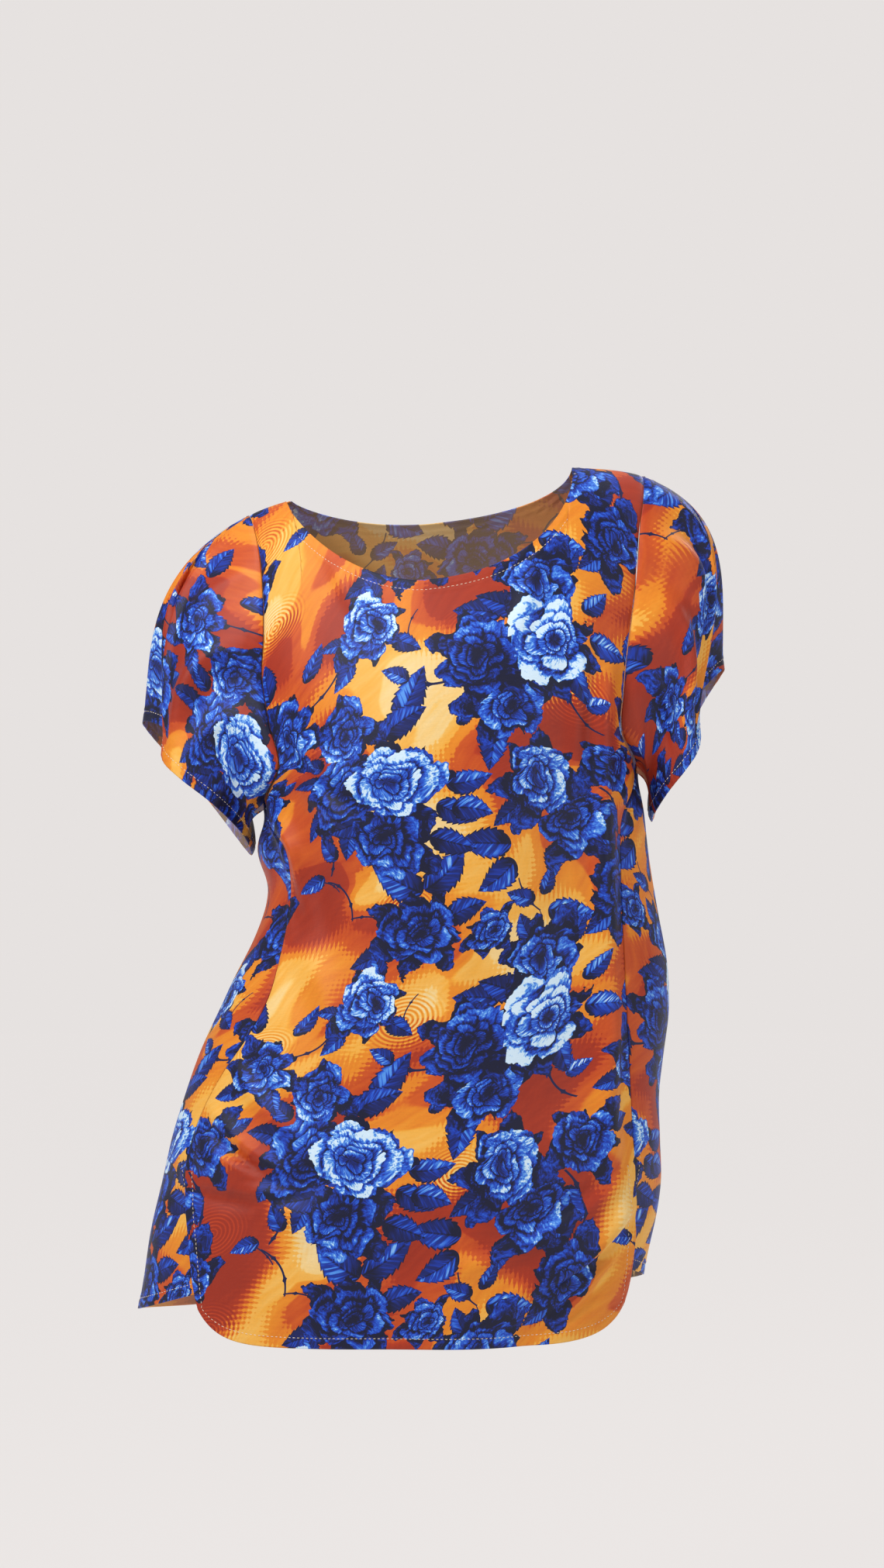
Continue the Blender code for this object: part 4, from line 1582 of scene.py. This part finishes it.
def cuffPoint(cuff, turn):
    count = len(cuff)
    turns = [row[0] for row in cuff] + [1.0]
    i = max(k for k in range(count) if turns[k] <= turn + 1e-9)
    f = (turn - turns[i]) / (turns[i + 1] - turns[i])
    picked = [cuff[(i + k) % count] for k in (-1, 0, 1, 2)]
    place = np.array([1.0 + f])
    return np.array([catmull([row[axis] for row in picked], place)[0] for axis in (1, 2, 3)])


def armholePoint(edge, turn):
    # place on the armhole, and the way the cloth runs on from the panels there
    steps = sleeveForm["solidSteps"]
    step = form["underarm"] / steps
    half = turn if turn <= 0.5 else 1 - turn
    side = "front" if turn <= 0.5 else "back"
    marks = np.arange(steps + 2) / (2 * (steps + 1))
    heights = np.array([0.0, step * 0.25] + [step * k for k in range(1, steps + 1)])
    row = float(np.interp(half, marks, heights))
    here = bodyPoint(side, row, float(edge))
    inner = bodyPoint(side, row, edge * (1 - form["seamStrip"]))
    along = unitRows(here - inner)
    blend = smoothStep(1 - min(half, 0.5 - half) * (2 * (steps + 1)))
    if blend > 0:
        other = bodyPoint("back" if side == "front" else "front", row, float(edge))
        end = np.array((along[0], 0.0, along[2])) if half < 0.25 else np.zeros(3)
        here = here * (1 - blend * 0.5) + other * blend * 0.5
        along = along * (1 - blend) + (unitRows(end) if half < 0.25 else end) * blend
    return here, along


def sleeveGrid(edge, cuff, turns, shares):
    grid = np.zeros((len(turns), len(shares), 3))
    atFirst, wayOut, atEnd, wayIn = hermite(np.asarray(shares)[:, None])
    for k, turn in enumerate(turns):
        turn = turn % 1.0
        start, along = armholePoint(edge, turn)
        end = cuffPoint(cuff, turn)
        low = 0.5 - 0.5 * math.cos(2 * math.pi * turn)
        outward = unitRows(np.array((edge * 1.0, 0.0, -0.30 - 0.10 * low)))
        keep = 1 - 0.9 * float(smoothStep(low * 2.2))
        leave = unitRows(keep * along + (1 - keep) * outward)
        arrive = unitRows(np.array((edge * (0.10 + 0.55 * low), 0.0, -1.0)))
        length = np.linalg.norm(end - start)
        full = sleeveForm["capFullness"] - 0.55 * low
        first = start + leave * form["seamGap"]
        grid[k] = first * atFirst + leave * length * full * wayOut + end * atEnd
        grid[k] += arrive * length * sleeveForm["cuffFlare"] * wayIn
    return grid


def makeSleeve(name, edge, cuff, creases, printShift, seed):
    turns = np.linspace(0, 1, sleeveForm["around"] + 1)
    fine = sleeveGrid(edge, cuff, turns, np.linspace(0, 1, sleeveForm["fineSteps"]))
    run = lengthsAlong(fine, 1)
    points = []
    for c in range(len(turns)):
        total = run[c, -1]
        inner = np.linspace(edgeBand[4], total - edgeBand[-1], sleeveForm["down"])
        last = total - np.array(edgeBand[:-1])[::-1]
        points.append(placesAt(fine[c], run[c], np.concatenate([edgeBand[:4], inner, last])))
    points = np.array(points)
    down = lengthsAlong(points, 1)
    around = lengthsAlong(points, 0)
    around = around - around[sleeveForm["around"] // 2:sleeveForm["around"] // 2 + 1]
    fromCuff = down[:, -1:] - down
    outward = gridNormals(points, closed=True)
    centre = points.mean((0, 1))
    outward = outward * np.sign(np.sum(outward * (points - centre)))
    girth = sleeveForm["girth"]
    fall = float(down[:, -1].mean())
    ringTurn = np.broadcast_to(turns[:, None], down.shape)
    ringShare = down / down[:, -1:]
    lift = np.zeros_like(down)
    for shift in (-1.0, 0.0, 1.0):
        moved = []
        for x1, z1, x2, z2, x3, z3, height, width, way in creases:
            moved.append(((x1 + shift) * girth, z1 * fall, (x2 + shift) * girth, z2 * fall,
                          (x3 + shift) * girth, z3 * fall, height, width, way))
        lift = lift + creaseHeight(moved, ringTurn * girth, ringShare * fall)
    calm = 0.55 + 0.45 * smoothStep(fromCuff / sleeveForm["calmCuff"])
    calm = smoothStep(down / sleeveForm["calmTop"]) * calm
    underarm = smoothStep(np.abs(ringTurn - 0.5) / sleeveForm["calmUnder"])
    lift = lift * calm * underarm
    angle = 2 * math.pi * ringTurn
    wave = np.sin(3 * angle + seed + 4 * ringShare) + np.sin(5 * angle - 3 * ringShare + 2 * seed)
    lift = lift + sheetCut["wave"] * 0.5 * wave * calm * underarm
    pull = sleeveForm["puckerMore"] * np.sin(angle * 46 + 1.8 * np.sin(angle * 7))
    lift = lift + sewnRelief(fromCuff, down, pull, sleeveForm["puckerReach"])
    points = points + outward * lift[..., None]
    points[-1] = points[0]
    wayRound = around[:, around.shape[1] // 4:].mean(1, keepdims=True)
    wayRound = np.broadcast_to(wayRound if edge < 0 else -wayRound, down.shape)
    cut = np.stack([wayRound + printShift[0], fromCuff + printShift[1]], -1)
    piece, area = addSheet(name, points, cut, (rightSide, wrongSide), closed=True)
    last = points.shape[1] - 1
    places = [(c, last - crossing(fromCuff[c, ::-1], sheetCut["stitchInset"])) for c in range(len(turns))]
    width = float(np.ptp(wayRound))
    long = float(down.max())
    print(name, "cut", round(width, 3), "by", round(long, 3))
    return piece, [lineOn(points, outward, places)], (width, long, area)


pieces["sleeve_left"] = makeSleeve(
    "sleeve_left_cloth", -1, leftCuff, leftSleeveCreases, (-1.245, -0.285), 2)
lines["sleeve_left"] = pieces["sleeve_left"][1]
pieces["sleeve_right"] = makeSleeve(
    "sleeve_right_cloth", 1, rightCuff, rightSleeveCreases, (1.395, -0.225), 5)
lines["sleeve_right"] = pieces["sleeve_right"][1]
print("sleeves made")

for node, made in pieces.items():
    piece = made[0]
    layPrint(piece)
    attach(piece, "root")
    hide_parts(node)
    sewn = addStitching(node + "_stitching", lines[node], thread)


def addFloor():
    bpy.ops.object.select_all(action="DESELECT")
    bpy.ops.mesh.primitive_plane_add(size=view["floorSize"], location=(0, 0, view["floorHeight"]))
    floor = bpy.context.object
    floor.name = "floor"
    material, tree, shader = newMaterial("paleFloor")
    grain = noise(tree, objectPlace(tree), view["floorGrain"], 3.0)
    plug(tree, mixed(tree, grain, view["floorDark"], view["floorPale"]), shader["Base Color"])
    shader["Roughness"].default_value = 0.9
    shader["Specular IOR Level"].default_value = 0.1
    shader["Emission Color"].default_value = (*view["skyColour"], 1.0)
    shader["Emission Strength"].default_value = view["floorGlow"]
    floor.data.materials.append(material)


# lights: name, place, what it points at, size, power
lights = (
    ("keyLight", (-1.5, -1.7, 1.3), (0.0, 0.0, -0.3), 0.7, 45),
    ("fillLight", (1.9, -1.5, 0.3), (0.0, 0.0, -0.35), 1.6, 14),
    ("backLight", (1.3, 1.5, 1.2), (0.0, 0.0, -0.3), 0.9, 18),
    ("topLight", (-0.4, -0.5, 1.9), (0.0, 0.0, -0.3), 0.9, 18),
)


def addLight(name, place, target, size, power):
    data = bpy.data.lights.new(name, "AREA")
    data.shape = "SQUARE"
    data.size = size
    data.energy = power
    data.color = view["lampColour"]
    lamp = bpy.data.objects.new(name, data)
    lamp.location = place
    away = np.array(place) - np.array(target)
    flat = math.hypot(away[0], away[1])
    lamp.rotation_euler = (math.atan2(flat, away[2]), 0, math.atan2(away[1], away[0]) + math.pi / 2)
    bpy.context.scene.collection.objects.link(lamp)


def addSky():
    # the backdrop is seen brighter than it lights
    world = bpy.data.worlds.new("studio")
    world.use_nodes = True
    tree = world.node_tree
    backdrop = tree.nodes["Background"]
    backdrop.inputs["Color"].default_value = (*view["skyColour"], 1.0)
    seen = tree.nodes.new("ShaderNodeLightPath").outputs["Is Camera Ray"]
    strength = timesPlus(tree, seen, view["skySeen"] - view["skyLight"], view["skyLight"])
    tree.links.new(strength, backdrop.inputs["Strength"])
    bpy.context.scene.world = world


addFloor()
addSky()
for light in lights:
    addLight(*light)
print("light set")
